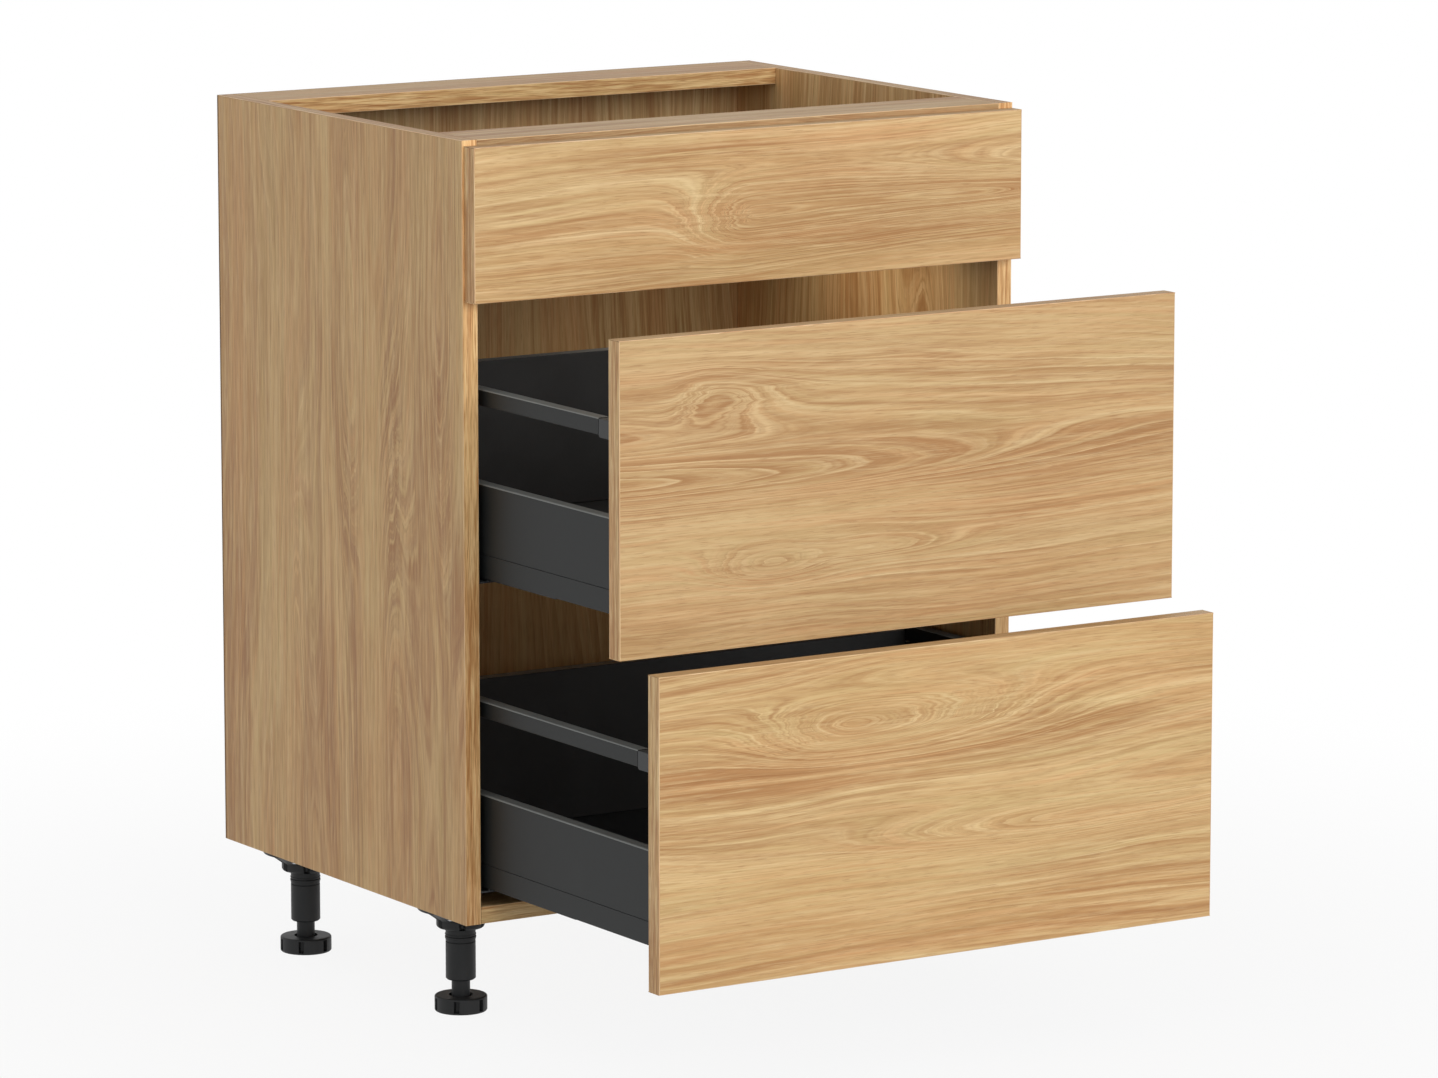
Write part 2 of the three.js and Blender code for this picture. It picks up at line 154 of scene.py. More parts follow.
def math_node(operation: str, turned: bool = False) -> Callable[..., "Wire"]:
    """Makes an operator of a wire.

    Args:
        operation: What the Math node does.
        turned: Whether the wire is its last value instead of its first.

    Returns:
        The operator, which takes the other values.
    """

    def operator(wire: "Wire", *others: "Wire | float") -> "Wire":
        """Adds the Math node."""
        values = (*others, wire) if turned else (wire, *others)
        return wire.tree.node("ShaderNodeMath", {"operation": operation}, dict(enumerate(values)))

    return operator


class Wire:
    """One output socket of a node tree, used in plain sums."""

    __add__ = __radd__ = math_node("ADD")
    __sub__ = math_node("SUBTRACT")
    __rsub__ = math_node("SUBTRACT", turned=True)
    __mul__ = __rmul__ = math_node("MULTIPLY")
    __pow__ = math_node("POWER")
    __truediv__ = math_node("DIVIDE")
    above = math_node("GREATER_THAN")
    exponential = math_node("EXPONENT")
    floor = math_node("FLOOR")
    fraction = math_node("FRACT")
    magnitude = math_node("ABSOLUTE")

    def __init__(self, tree: "Tree", socket: bpy.types.NodeSocket) -> None:
        """Keeps the socket and the tree that it belongs to."""
        self.tree = tree
        self.socket = socket

    def __neg__(self) -> "Wire":
        """This value with its sign turned."""
        return self * -1.0

    def other(self, key: str | int) -> "Wire":
        """Another output of the same node."""
        return Wire(self.tree, find_socket(self.socket.node.outputs, key))

    def clamped(self) -> "Wire":
        """This value kept between 0 and 1."""
        return self.tree.node("ShaderNodeClamp", {}, {"Value": self})

    def step(self, low: float, high: float, start: float = 0.0, end: float = 1.0) -> "Wire":
        """Eases from one value to another while this value goes from low to high.

        Args:
            low: Where the change begins.
            high: Where it ends.
            start: The result below low.
            end: The result above high.

        Returns:
            The eased value.
        """
        settings = {"interpolation_type": "SMOOTHSTEP"}
        values = {"Value": self, "From Min": low, "From Max": high, "To Min": start, "To Max": end}
        return self.tree.node("ShaderNodeMapRange", settings, values)


def find_socket(sockets: Sequence[bpy.types.NodeSocket], key: str | int) -> bpy.types.NodeSocket:
    """Finds a socket by its number, its identifier or its name, in that order.

    Args:
        sockets: The inputs or outputs of a node.
        key: What to look for.

    Returns:
        The socket.
    """
    if isinstance(key, int):
        return sockets[key]
    return next((socket for socket in sockets if socket.identifier == key), None) or sockets[key]


class Tree:
    """A node tree of a material, the world or a geometry pattern."""

    def __init__(self, tree: bpy.types.NodeTree) -> None:
        """Starts on an empty tree."""
        self.tree = tree
        tree.nodes.clear()

    def node(
        self,
        kind: str,
        settings: dict[str, object] | None = None,
        values: dict[str | int, object] | None = None,
        output: str | int = 0,
    ) -> Wire:
        """Adds a node, sets it up and links it.

        Args:
            kind: The node's type.
            settings: Its properties, set before the sockets.
            values: Numbers, colours, wires or lists of wires for its input sockets.
            output: The output socket to return.

        Returns:
            That output, or the node's first input where it has no outputs.
        """
        made = self.tree.nodes.new(kind)
        for name, value in (settings or {}).items():
            setattr(made, name, value)
        for key, value in (values or {}).items():
            socket = find_socket(made.inputs, key)
            if isinstance(value, Wire | list):
                for wire in value if isinstance(value, list) else [value]:
                    self.tree.links.new(wire.socket, socket)
            else:
                socket.default_value = value
        return Wire(self, find_socket(made.outputs if len(made.outputs) else made.inputs, output))

    def vector(self, x: Wire | float, y: Wire | float, z: Wire | float) -> Wire:
        """A vector of three values."""
        return self.node("ShaderNodeCombineXYZ", {}, {0: x, 1: y, 2: z})

    def mix(self, share: Wire | float, first: Wire | Colour, second: Wire | Colour) -> Wire:
        """The first colour with this share of the second one."""
        values = {"Factor_Float": share, "A_Color": first, "B_Color": second}
        return self.node("ShaderNodeMix", {"data_type": "RGBA"}, values, "Result_Color")

    def noise(self, place: Wire, scale: float, detail: float = 2.0) -> Wire:
        """Soft noise between 0 and 1, of this fineness and number of finer layers."""
        return self.node("ShaderNodeTexNoise", {}, {"Vector": place, "Scale": scale, "Detail": detail})

    def cells(self, place: Wire, scale: float) -> Wire:
        """A random number for each cell of a crystal pattern of this fineness."""
        tone = self.node("ShaderNodeTexVoronoi", {}, {"Vector": place, "Scale": scale}, "Color")
        return self.node("ShaderNodeSeparateColor", {}, {0: tone})

    def own_place(self) -> Wire:
        """The place on the piece, in metres of the cabinet's frame."""
        return self.node("ShaderNodeTexCoord", {}, {}, "Object")

    def bump(self, height: Wire, depth: float) -> Wire:
        """The normal of a relief, where a height of 1 stands for this depth in metres."""
        return self.node("ShaderNodeBump", {}, {"Strength": 1.0, "Distance": depth, "Height": height})

    def white_seen(self) -> Wire:
        """1 for what the camera sees, straight, mirrored or through glass."""
        path = self.node("ShaderNodeLightPath", {}, {}, "Is Camera Ray")
        return (path + path.other("Is Glossy Ray") + path.other("Is Transmission Ray")).clamped()


# ---- Finishes -----------------------------------------------------------------------------------


@dataclass(frozen=True)
class Finish:
    """A finish: a named material with its own node tree."""

    name: str

    def sockets(self, tree: Tree) -> dict[str, object]:
        """What goes into the standard shader, by socket."""
        raise NotImplementedError

    def shader(self, tree: Tree) -> Wire:
        """The standard shader with this finish's values."""
        return tree.node("ShaderNodeBsdfPrincipled", {}, self.sockets(tree))

    def material(self) -> bpy.types.Material:
        """Builds the material.

        Returns:
            The material.
        """
        made = bpy.data.materials.new(self.name)
        made.use_nodes = True
        tree = Tree(made.node_tree)
        tree.node("ShaderNodeOutputMaterial", {}, {"Surface": self.shader(tree)})
        return made


@cache
def material_of(finish: Finish) -> bpy.types.Material:
    """The material of a finish, built at its first use."""
    return finish.material()


class Weave(Enum):
    """The noises of the wood: fineness along and across the grain, own number, finer layers."""

    LONG_WARP = (4.0, 60.0, 0.0, 3.0)
    FINE_WARP = (14.0, 330.0, 3.1, 1.0)
    LONG_SWAY = (1.9, 4.5, 5.7, 1.0)
    SHORT_SWAY = (7.0, 14.0, 7.9, 1.0)
    DRIFT = (1.5, 5.0, 11.0, 0.0)
    RIPPLE = (5.0, 22.0, 17.0, 0.0)
    FIGURED = (2.4, 22.0, 23.0, 1.0)
    LIVELY = (1.2, 7.0, 101.0, 1.0)
    VEINED = (3.1, 26.0, 89.0, 1.0)
    PATCH = (1.3, 9.0, 31.0, 2.0)
    WARMTH = (2.2, 13.0, 33.0, 2.0)
    BLUSH = (2.6, 34.0, 53.0, 3.0)
    STREAK = (9.0, 240.0, 37.0, 3.0)
    FIBRE = (36.0, 900.0, 41.0, 2.0)
    PORES = (45.0, 1100.0, 43.0, 1.0)
    # These follow the rings: their second number is the fineness per ring.
    UNEVENNESS = (0.6, 0.55, 61.0, 1.0)
    BROAD_BAND = (0.9, 0.16, 71.0, 2.0)
    BAND = (1.6, 1.1, 73.0, 2.0)
    HAIR = (4.0, 4.2, 79.0, 3.0)
    VEIN = (3.2, 1.5, 83.0, 3.0)
    FINE_VEIN = (7.0, 3.4, 97.0, 3.0)
    RING_BLUSH = (5.0, 1.7, 57.0, 2.0)


@dataclass(frozen=True)
class Print:
    """A place on a board as the wood pattern reads it: along the grain, across it, and the face."""

    tree: Tree
    along: Wire
    across: Wire
    layer: Wire

    def noise(self, weave: Weave, rings: Wire | None = None) -> Wire:
        """One of the wood's noises, about 0 in the middle.

        Args:
            weave: Which noise.
            rings: The ring count, for a noise that follows the rings.

        Returns:
            The noise.
        """
        fine_along, fine_across, number, detail = weave.value
        side = self.across if rings is None else rings
        where = self.tree.vector(self.along * fine_along, side * fine_across, self.layer + number)
        return self.tree.noise(where, 1.0, detail) - 0.5


@dataclass(frozen=True)
class Eye:
    """A figure in the wood, where the rings close round a point or run out in a long tongue.

    It lies at a place along and across the board, reaches so far before and after it, and is so
    high. It shifts the rings by a number and warms the wood by its glow.
    """

    along: float
    across: float
    before: float
    after: float
    height: float
    rings: float
    glow: float = 0.0


@dataclass(frozen=True)
class WoodDecor(Finish):
    """Printed oak foil with a fine open grain.

    The pattern reads the piece's "grain" attribute: metres along the grain from the middle of the
    board, metres across it from the board's lower edge, and a number that is different for each
    face, so that no two faces carry the same print.
    """

    seed: float = 0.0
    rings_per_metre: float = 120.0
    heart: float = -0.5
    core: float = 0.05
    taper: float = 0.06
    drift: float = 5.0
    ripple: float = 0.7
    unevenness: float = 2.0
    streaks: float = 0.75
    veins: float = 0.5
    roughness: float = 0.4
    relief: float = 0.12 * MM
    eyes: tuple[Eye, ...] = ()
    light: Colour = srgb(217, 185, 133)
    tan: Colour = srgb(205, 170, 119)
    warm: Colour = srgb(205, 160, 107)
    dark: Colour = srgb(164, 114, 66)
    pale: Colour = srgb(230, 202, 153)
    rose: Colour = srgb(217, 164, 114)
    straw: Colour = srgb(201, 175, 121)

    def tinted(self, name: str, light_factor: Sequence[float], **changes: object) -> "WoodDecor":
        """A copy of this decor with every colour multiplied, as painted light or shade.

        Args:
            name: The copy's name.
            light_factor: What its red, green and blue are multiplied by: painted light or shade.
            **changes: Other fields of the copy.

        Returns:
            The copy.
        """
        colours = {}
        for key in ("light", "tan", "warm", "dark", "pale", "rose", "straw"):
            *old, alpha = getattr(self, key)
            colours[key] = (*(value * times for value, times in zip(old, light_factor)), alpha)
        return replace(self, name=name, **colours, **changes)

    def sockets(self, tree: Tree) -> dict[str, object]:
        """Prints the wood: ground, warm zones, rings, bands and veins, streaks, fibres and pores.

        Args:
            tree: The material's tree.

        Returns:
            The shader's values.
        """
        place = tree.node("ShaderNodeAttribute", {"attribute_name": "grain"}, {}, "Vector")
        parts = tree.node("ShaderNodeSeparateXYZ", {}, {0: place})
        flat = Print(tree, parts, parts.other(1), parts.other(2) + self.seed)
        bent = Print(
            tree,
            flat.along + flat.noise(Weave.LONG_WARP) * 0.05 + flat.noise(Weave.FINE_WARP) * 0.012,
            flat.across + flat.noise(Weave.LONG_SWAY) * 0.03 + flat.noise(Weave.SHORT_SWAY) * 0.005,
            flat.layer,
        )
        rings, glow = self._rings(bent)
        uneven = rings + flat.noise(Weave.UNEVENNESS, rings) * self.unevenness
        phase = uneven.fraction()
        spot = tree.vector(uneven.floor(), flat.layer, 0.0)
        chance = tree.node("ShaderNodeTexWhiteNoise", {"noise_dimensions": "2D"}, {0: spot})
        other_chance = (chance * 37.0).fraction()

        figured = (flat.noise(Weave.FIGURED).step(-0.14, 0.16) + glow).clamped()
        lively = flat.noise(Weave.LIVELY).step(-0.15, 0.12, 0.3, 1.2)
        late = phase.step(0.25, 0.96) * phase.step(0.965, 1.0, 1.0, 0.0)
        early = phase.step(0.0, 0.03) * phase.step(0.05, 0.3, 1.0, 0.0)
        broad = flat.noise(Weave.BROAD_BAND, rings)
        band = flat.noise(Weave.BAND, rings) * lively
        hair = flat.noise(Weave.HAIR, rings) * lively
        vein = (1.0 - flat.noise(Weave.VEIN, rings).magnitude() * 12.0).clamped() * lively
        vein = vein * flat.noise(Weave.VEINED).step(-0.06, 0.14)
        fine_vein = (1.0 - flat.noise(Weave.FINE_VEIN, rings).magnitude() * 8.0).clamped()
        fine_vein = fine_vein * figured * lively
        streak = flat.noise(Weave.STREAK) * self.streaks
        fibre = flat.noise(Weave.FIBRE) * self.streaks
        blush = flat.noise(Weave.BLUSH) * 1.8 + flat.noise(Weave.RING_BLUSH, rings) * 1.7
        pores = flat.noise(Weave.PORES).step(0.12, 0.2)

        ground = (broad * 1.6 + flat.noise(Weave.PATCH) * 1.6 + 0.45).clamped()
        warmed = (flat.noise(Weave.WARMTH) * 3.0 + broad * 2.0 + glow + 0.25).clamped()
        colour = tree.mix(ground, self.light, self.tan)
        for share, ink in (
            (warmed * 0.85, self.warm),
            ((chance * 1.5 - 0.75).clamped() * 0.6, self.warm),
            ((glow * 0.35 + broad * 0.5).clamped(), self.dark),
            (blush.clamped(), self.rose),
            ((-blush).clamped(), self.straw),
            (early * figured * (other_chance * 0.65 + 0.1), self.pale),
            (late * figured * (chance * chance * 0.7 + glow * 0.4 + 0.04), self.dark),
            ((band * 2.9 - 0.05).clamped(), self.dark),
            ((hair * 2.0 - 0.03).clamped(), self.dark),
            ((band * -1.9 - hair * 1.6).clamped(), self.pale),
            (vein * self.veins, self.dark),
            (fine_vein * self.veins * 0.7, self.dark),
            ((streak * 1.6 + fibre * 1.3).clamped(), self.dark),
            ((streak * -1.7 - fibre * 1.3).clamped(), self.pale),
            (pores * 0.42, self.dark),
        ):
            colour = tree.mix(share, colour, ink)
        height = streak * 0.5 + fibre * 0.5 - pores * 0.6 - late * 0.25
        return {
            "Base Color": colour,
            "Roughness": late * -0.06 + streak * 0.25 + self.roughness,
            "Normal": tree.bump(height, self.relief),
            "Specular IOR Level": 0.4,
        }

    def _rings(self, place: Print) -> tuple[Wire, Wire]:
        """How many rings lie between a place on the board and the pith of the tree.

        Args:
            place: The place, with the wood's waves in it.

        Returns:
            The number of rings, and how warm the figures make the wood.
        """
        spread = place.across - self.heart
        depth = place.along * self.taper + self.core
        rings = (spread * spread + depth * depth) ** 0.5 * self.rings_per_metre
        rings = rings + place.noise(Weave.DRIFT) * (2 * self.drift)
        rings = rings + place.noise(Weave.RIPPLE) * (2 * self.ripple)
        glow = place.along * 0.0
        for eye in self.eyes:
            gone = place.along - eye.along
            one = gone * (gone.above(0.0) * (1 / eye.after - 1 / eye.before) + 1 / eye.before)
            two = (place.across - eye.across) / eye.height
            figure = (-(one * one + two * two)).exponential()
            rings = rings + figure * eye.rings
            glow = glow + figure * eye.glow
        return rings, glow


@dataclass(frozen=True)
class Chipboard(Finish):
    """The raw edge of a chipboard: pressed flakes in several tans."""

    name: str = "raw_chipboard"
    flake: Colour = srgb(196, 164, 122)
    dark_flake: Colour = srgb(128, 96, 62)
    flakes_per_metre: float = 620.0
    relief: float = 0.3 * MM

    def sockets(self, tree: Tree) -> dict[str, object]:
        """Lays the flakes.

        Args:
            tree: The material's tree.

        Returns:
            The shader's values.
        """
        place = tree.own_place()
        grey = tree.cells(place, self.flakes_per_metre)
        rough = tree.noise(place, self.flakes_per_metre / 2, 3.0)
        colour = tree.mix(grey, self.dark_flake, self.flake)
        return {
            "Base Color": tree.mix(rough.step(0.35, 0.6) * 0.5, colour, self.flake),
            "Roughness": 0.85,
            "Normal": tree.bump(grey + rough, self.relief),
        }


@dataclass(frozen=True)
class Fibreboard(Finish):
    """The rough brown rear face of the back board, with its pressed mesh."""

    name: str = "back_board_rear"
    tone: Colour = srgb(134, 101, 66)
    fleck: Colour = srgb(94, 68, 43)
    mesh_per_metre: float = 420.0
    fibres_per_metre: float = 900.0
    relief: float = 0.3 * MM

    def sockets(self, tree: Tree) -> dict[str, object]:
        """Lays fibres, clouds and the mesh.

        Args:
            tree: The material's tree.

        Returns:
            The shader's values.
        """
        place = tree.own_place()
        parts = tree.node("ShaderNodeSeparateXYZ", {}, {0: place})
        wires = [
            (way * self.mesh_per_metre).fraction().step(0.2, 0.8)
            for way in (parts, parts.other(2))
        ]
        fibres = tree.noise(place, self.fibres_per_metre, 3.0)
        cloud = tree.noise(place, 7.0, 3.0)
        colour = tree.mix(fibres.step(0.35, 0.65) * 0.6, self.tone, self.fleck)
        return {
            "Base Color": tree.mix(cloud.step(0.4, 0.7) * 0.25, colour, self.fleck),
            "Roughness": 0.8,
            "Normal": tree.bump(wires[0] * wires[1] + fibres * 0.6, self.relief),
        }


@dataclass(frozen=True)
class Mottle:
    """A noise on a coat: fineness, finer layers, where it begins and is full, and its strength."""

    scale: float
    detail: float
    low: float = 0.0
    high: float = 1.0
    share: float = 0.0


@dataclass(frozen=True)
class Coat(Finish):
    """Paint, melamine or moulded plastic: a tone with lighter clouds and specks, and a fine relief."""

    tone: Colour
    lighter: Colour
    cloud: Mottle
    speck: Mottle
    peel: Mottle
    relief: float
    roughness: float
    cloud_roughness: float
    gloss: float

    def toned(self, name: str, tone: Colour, lighter: Colour, **changes: object) -> "Coat":
        """A copy of this coat in another tone."""
        return replace(self, name=name, tone=tone, lighter=lighter, **changes)

    def sockets(self, tree: Tree) -> dict[str, object]:
        """Lays the clouds, the specks and the relief.

        Args:
            tree: The material's tree.

        Returns:
            The shader's values.
        """
        place = tree.own_place()
        kinds = (self.cloud, self.speck, self.peel)
        cloud, speck, peel = (tree.noise(place, kind.scale, kind.detail) for kind in kinds)
        colour = self.tone
        for field, kind in ((cloud, self.cloud), (speck, self.speck)):
            colour = tree.mix(field.step(kind.low, kind.high) * kind.share, colour, self.lighter)
        return {
            "Base Color": colour,
            "Roughness": cloud * self.cloud_roughness + peel * self.peel.share + self.roughness,
            "Normal": tree.bump(peel, self.relief),
            "Specular IOR Level": self.gloss,
        }


@dataclass(frozen=True)
class ZincSteel(Finish):
    """Zinc, bright on small parts and dark on the runners, with rolling lines and dull spots."""

    name: str = "zinc_steel"
    tone: Colour = srgb(196, 198, 200)
    dull: Colour = srgb(150, 152, 155)
    metallic: float = 0.95
    roughness: float = 0.26
    spangles_per_metre: float = 240.0
    lines_per_metre: float = 1800.0
    relief: float = 0.03 * MM

    def sockets(self, tree: Tree) -> dict[str, object]:
        """Lays the rolling lines and the spangles.

        Args:
            tree: The material's tree.

        Returns:
            The shader's values.
        """
        place = tree.own_place()
        stretched = tree.node("ShaderNodeMapping", {}, {"Vector": place, "Scale": (1.0, 0.02, 1.0)})
        rolled = tree.noise(stretched, self.lines_per_metre, 2.0)
        spot = tree.cells(place, self.spangles_per_metre)
        return {
            "Base Color": tree.mix(spot * 0.5 + rolled * 0.2, self.tone, self.dull),
            "Metallic": self.metallic,
            "Roughness": spot * 0.12 + rolled * 0.1 + self.roughness,
            "Normal": tree.bump(rolled, self.relief),
        }


CARCASS_DECOR = WoodDecor(
    "carcass_oak", seed=3.0, heart=-0.3, eyes=(Eye(0.05, 0.12, 0.3, 0.2, 0.028, 7.0),)
)
# Painted light: the left panel's colours are lifted and warmed for the light on its side.
LEFT_PANEL_DECOR = CARCASS_DECOR.tinted(
    "left_panel_oak",
    (1.08, 1.025, 0.885),
    seed=9.0,
    rings_per_metre=60.0,
    heart=0.9,
    drift=4.0,
    streaks=1.15,
    veins=0.8,
    eyes=(
        Eye(0.16, 0.212, 0.17, 0.5, 0.034, 9.0, 0.1),
        Eye(-0.25, 0.128, 0.5, 0.3, 0.042, 10.0),
        Eye(0.2, 0.042, 0.2, 0.5, 0.03, 9.0, 0.4),
        Eye(-0.3, 0.315, 0.5, 0.4, 0.022, 5.0),
    ),
)
# Painted light: the right panel is lightened so that the dim inside of the cabinet reads brighter.
RIGHT_PANEL_DECOR = CARCASS_DECOR.tinted("right_panel_oak", (1.26, 1.23, 1.18))
# Painted light: the top front is lightened for the weaker light that reaches it further back.
TOP_FRONT_DECOR = CARCASS_DECOR.tinted(
    "top_front_oak",
    (1.17, 1.19, 1.2),
    seed=21.0,
    heart=-0.5,
    eyes=(
        Eye(0.0, 0.06, 0.055, 0.42, 0.027, 15.0, 0.5),
        Eye(0.3, 0.066, 0.15, 0.3, 0.012, 7.0, 0.4),
        Eye(0.12, 0.034, 0.16, 0.3, 0.012, 0.0, 0.9),
    ),
)
MIDDLE_FRONT_DECOR = WoodDecor(
    "middle_front_oak",
    seed=33.0,
    eyes=(
        Eye(-0.35, 0.15, 0.3, 0.42, 0.028, 14.0, 0.9),
        Eye(-0.138, 0.07, 0.06, 0.07, 0.018, 8.0, 0.35),
        Eye(-0.2, 0.223, 0.03, 0.06, 0.02, -3.5, 0.3),
        Eye(-0.03, 0.076, 0.05, 0.09, 0.012, 4.5),
    ),
)
# Painted light: the bottom front is lightened a little to match the light on the other fronts.
BOTTOM_FRONT_DECOR = CARCASS_DECOR.tinted(
    "bottom_front_oak",
    (1.07, 1.085, 1.06),
    seed=47.0,
    heart=-0.5,
    eyes=(
        Eye(-0.093, 0.22, 0.09, 0.16, 0.024, 11.0),
        Eye(0.25, 0.112, 0.33, 0.4, 0.018, 9.0),
        Eye(-0.26, 0.187, 0.3, 0.24, 0.013, 0.0, 1.0),
        Eye(-0.1, 0.03, 0.5, 0.5, 0.03, 0.0, 0.45),
    ),
)
# Painted light: bands are lighter than the foil for the shade on board edges; panel bands more so.
EDGE_BAND = CARCASS_DECOR.tinted(
    "edge_band_oak", (1.16, 1.11, 1.0), seed=55.0, streaks=2.2, veins=0.9, eyes=()
)
PANEL_BAND = EDGE_BAND.tinted("panel_band_oak", (1.24, 1.21, 1.23), seed=59.0)
# Painted highlight: the rounded arris of every band is paler and bluer, as if catching a lamp.
ARRIS_HIGHLIGHT = CARCASS_DECOR.tinted("arris_oak", (1.3, 1.35, 1.55), seed=61.0, eyes=())
# Painted shade: rails and top bands are darker and greyer, for the dimmer light on faces that look up.
RAIL_SHADED_DECOR = CARCASS_DECOR.tinted("rail_oak", (0.78, 0.76, 0.76), seed=71.0, roughness=0.57)
STEEL = Coat(
    "graphite_steel",
    srgb(36, 38, 38),
    srgb(45, 47, 47),
    cloud=Mottle(14.0, 3.0, 0.4, 0.7, 0.4),
    speck=Mottle(5200.0, 0.0, 0.66, 0.74, 0.5),
    peel=Mottle(900.0, 1.0, share=0.06),
    relief=0.05 * MM,
    roughness=0.4,
    cloud_roughness=0.1,
    gloss=0.22,
)
# Painted light: a lighter copy of the steel for the sheet's flat tops.
STEEL_TOP_LIT = STEEL.toned("graphite_steel_top", srgb(106, 109, 108), srgb(118, 121, 119))
# Painted highlight: a light grey copy for the upper bends.
STEEL_BEND_HIGHLIGHT = STEEL.toned("graphite_steel_bend", srgb(136, 139, 137), srgb(152, 155, 152))
# Painted shade: a near black copy for the crease's flank that faces down.
STEEL_CREASE_SHADE = STEEL.toned("graphite_steel_shade", srgb(16, 17, 17), srgb(20, 21, 21))
BLACK_BOARD = Coat(
    "black_melamine",
    srgb(32, 33, 34),
    srgb(44, 45, 46),
    cloud=Mottle(22.0, 3.0, 0.35, 0.7, 0.45),
    speck=Mottle(1500.0, 1.0, 0.5, 0.75, 0.35),
    peel=Mottle(1500.0, 1.0),
    relief=0.12 * MM,
    roughness=0.42,
    cloud_roughness=0.12,
    gloss=0.5,
)
# Painted light: a drawer back's upward edge is light grey, as if lit from above.
BOARD_TOP_LIT = BLACK_BOARD.toned("grey_edge_band", srgb(152, 154, 152), srgb(168, 170, 167))
GRAPHITE_PLASTIC = Coat(
    "graphite_plastic",
    srgb(43, 45, 46),
    srgb(51, 53, 54),
    cloud=Mottle(45.0, 2.0, 0.35, 0.7, 1.0),
    speck=Mottle(2600.0, 2.0, 0.55, 0.8, 0.3),
    peel=Mottle(2600.0, 2.0),
    relief=0.04 * MM,
    roughness=0.38,
    cloud_roughness=0.14,
    gloss=0.35,
)
# Painted light: a lighter copy of the plastic for the holders' tops.
PLASTIC_TOP_LIT = GRAPHITE_PLASTIC.toned("graphite_plastic_top", srgb(58, 60, 60), srgb(68, 70, 70))
BLACK_PLASTIC = GRAPHITE_PLASTIC.toned(
    "black_plastic", srgb(27, 28, 29), srgb(33, 34, 35), roughness=0.43, gloss=0.3
)
BRIGHT_ZINC = ZincSteel()
# Painted shade: the runners' zinc is dark and dull so they stay dim in the gaps between boards.
SHADED_ZINC = ZincSteel("dark_zinc", srgb(58, 60, 62), srgb(44, 46, 48), 0.3, 0.5)


# ---- Outlines -----------------------------------------------------------------------------------


def round_corners(corners: Iterable[Sequence[float]], steps: int = 4) -> list[Point]:
    """Rounds the corners of an outline or an open path.

    Args:
        corners: The corners, in order: x, y and, where it is round, a radius.
        steps: Into how many chords a round is divided.

    Returns:
        The points of the rounded line.
    """
    line: list[Point] = []
    points = [Vector(corner[:2]) for corner in corners]
    for number, (corner, spot) in enumerate(zip(points, corners)):
        if len(spot) < 3:
            line.append(tuple(spot))
            continue
        radius = spot[2]
        back = (points[number - 1] - corner).normalized()
        ahead = (points[(number + 1) % len(points)] - corner).normalized()
        half = back.angle(ahead) / 2
        middle = corner + (back + ahead).normalized() * (radius / math.sin(half))
        start = corner + back * (radius / math.tan(half)) - middle
        end = corner + ahead * (radius / math.tan(half)) - middle
        turn = start.angle_signed(end)
        for step in range(steps + 1):
            spoke = start.copy()
            spoke.rotate(Matrix.Rotation(-turn * step / steps, 2))
            line.append(tuple(middle + spoke))
    return line


def thickened(path: Sequence[Point], thickness: float) -> list[Point]:
    """Gives an open path the thickness of a sheet.

    Args:
        path: The middle of the sheet, from end to end.
        thickness: The sheet's thickness.

    Returns:
        The closed outline.
    """
    left: list[Point] = []
    right: list[Point] = []
    points = [Vector(point) for point in path]
    for number, point in enumerate(points):
        before = (point - points[number - 1]).normalized() if number else None
        after = (points[number + 1] - point).normalized() if number + 1 < len(points) else None
        first, second = before or after, after or before
        normal = Vector((-(first.y + second.y), first.x + second.x)).normalized()
        stretch = thickness / 2 / max(0.2, normal.dot(Vector((-first.y, first.x))))
        left.append(tuple(point + normal * stretch))
        right.append(tuple(point - normal * stretch))
    return left + right[::-1]


def rounded_rectangle(width: float, height: float, radius: float, inset: float = 0.0) -> list[Point]:
    """A rectangle with round corners, drawn in on each side.

    Args:
        width: The full width.
        height: The full height.
        radius: The radius of the full rectangle's corners.
        inset: How far each side is drawn in.

    Returns:
        The outline.
    """
    right, top = width - inset, height - inset
    corners = ((inset, inset), (right, inset), (right, top), (inset, top))
    return round_corners([(*corner, radius - inset) for corner in corners])


def groove(radius: float, depth: float, heights: Sequence[float]) -> list[Point]:
    """A groove in an upright wall, by the four heights of its lips and its floor."""
    reaches = (radius, radius - depth, radius - depth, radius)
    return list(zip(reaches, heights))


# ---- Meshes -------------------------------------------------------------------------------------


@dataclass(frozen=True)
class Box:
    """A box that lies along the axes."""

    low: Vector
    high: Vector

    @classmethod
    def of(cls, node: str) -> "Box":
        """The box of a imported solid."""
        return cls(*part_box(node))

    @property
    def size(self) -> Vector:
        """Its three sizes."""
        return self.high - self.low

    @property
    def middle(self) -> Vector:
        """Its middle."""
        return (self.low + self.high) / 2

    def side(self, hand: Hand) -> float:
        """The x of its left or right side."""
        return self.low.x if hand is Hand.LEFT else self.high.x

    def shrunk(self, axis: Axis, side: int, amount: float) -> "Box":
        """This box with one side moved inwards.

        Args:
            axis: The axis of the side.
            side: -1 for the low side, 1 for the high one.
            amount: How far it moves.

        Returns:
            The smaller box.
        """
        low, high = self.low.copy(), self.high.copy()
        moved = low if side < 0 else high
        moved[axis.value] -= side * amount
        return Box(low, high)


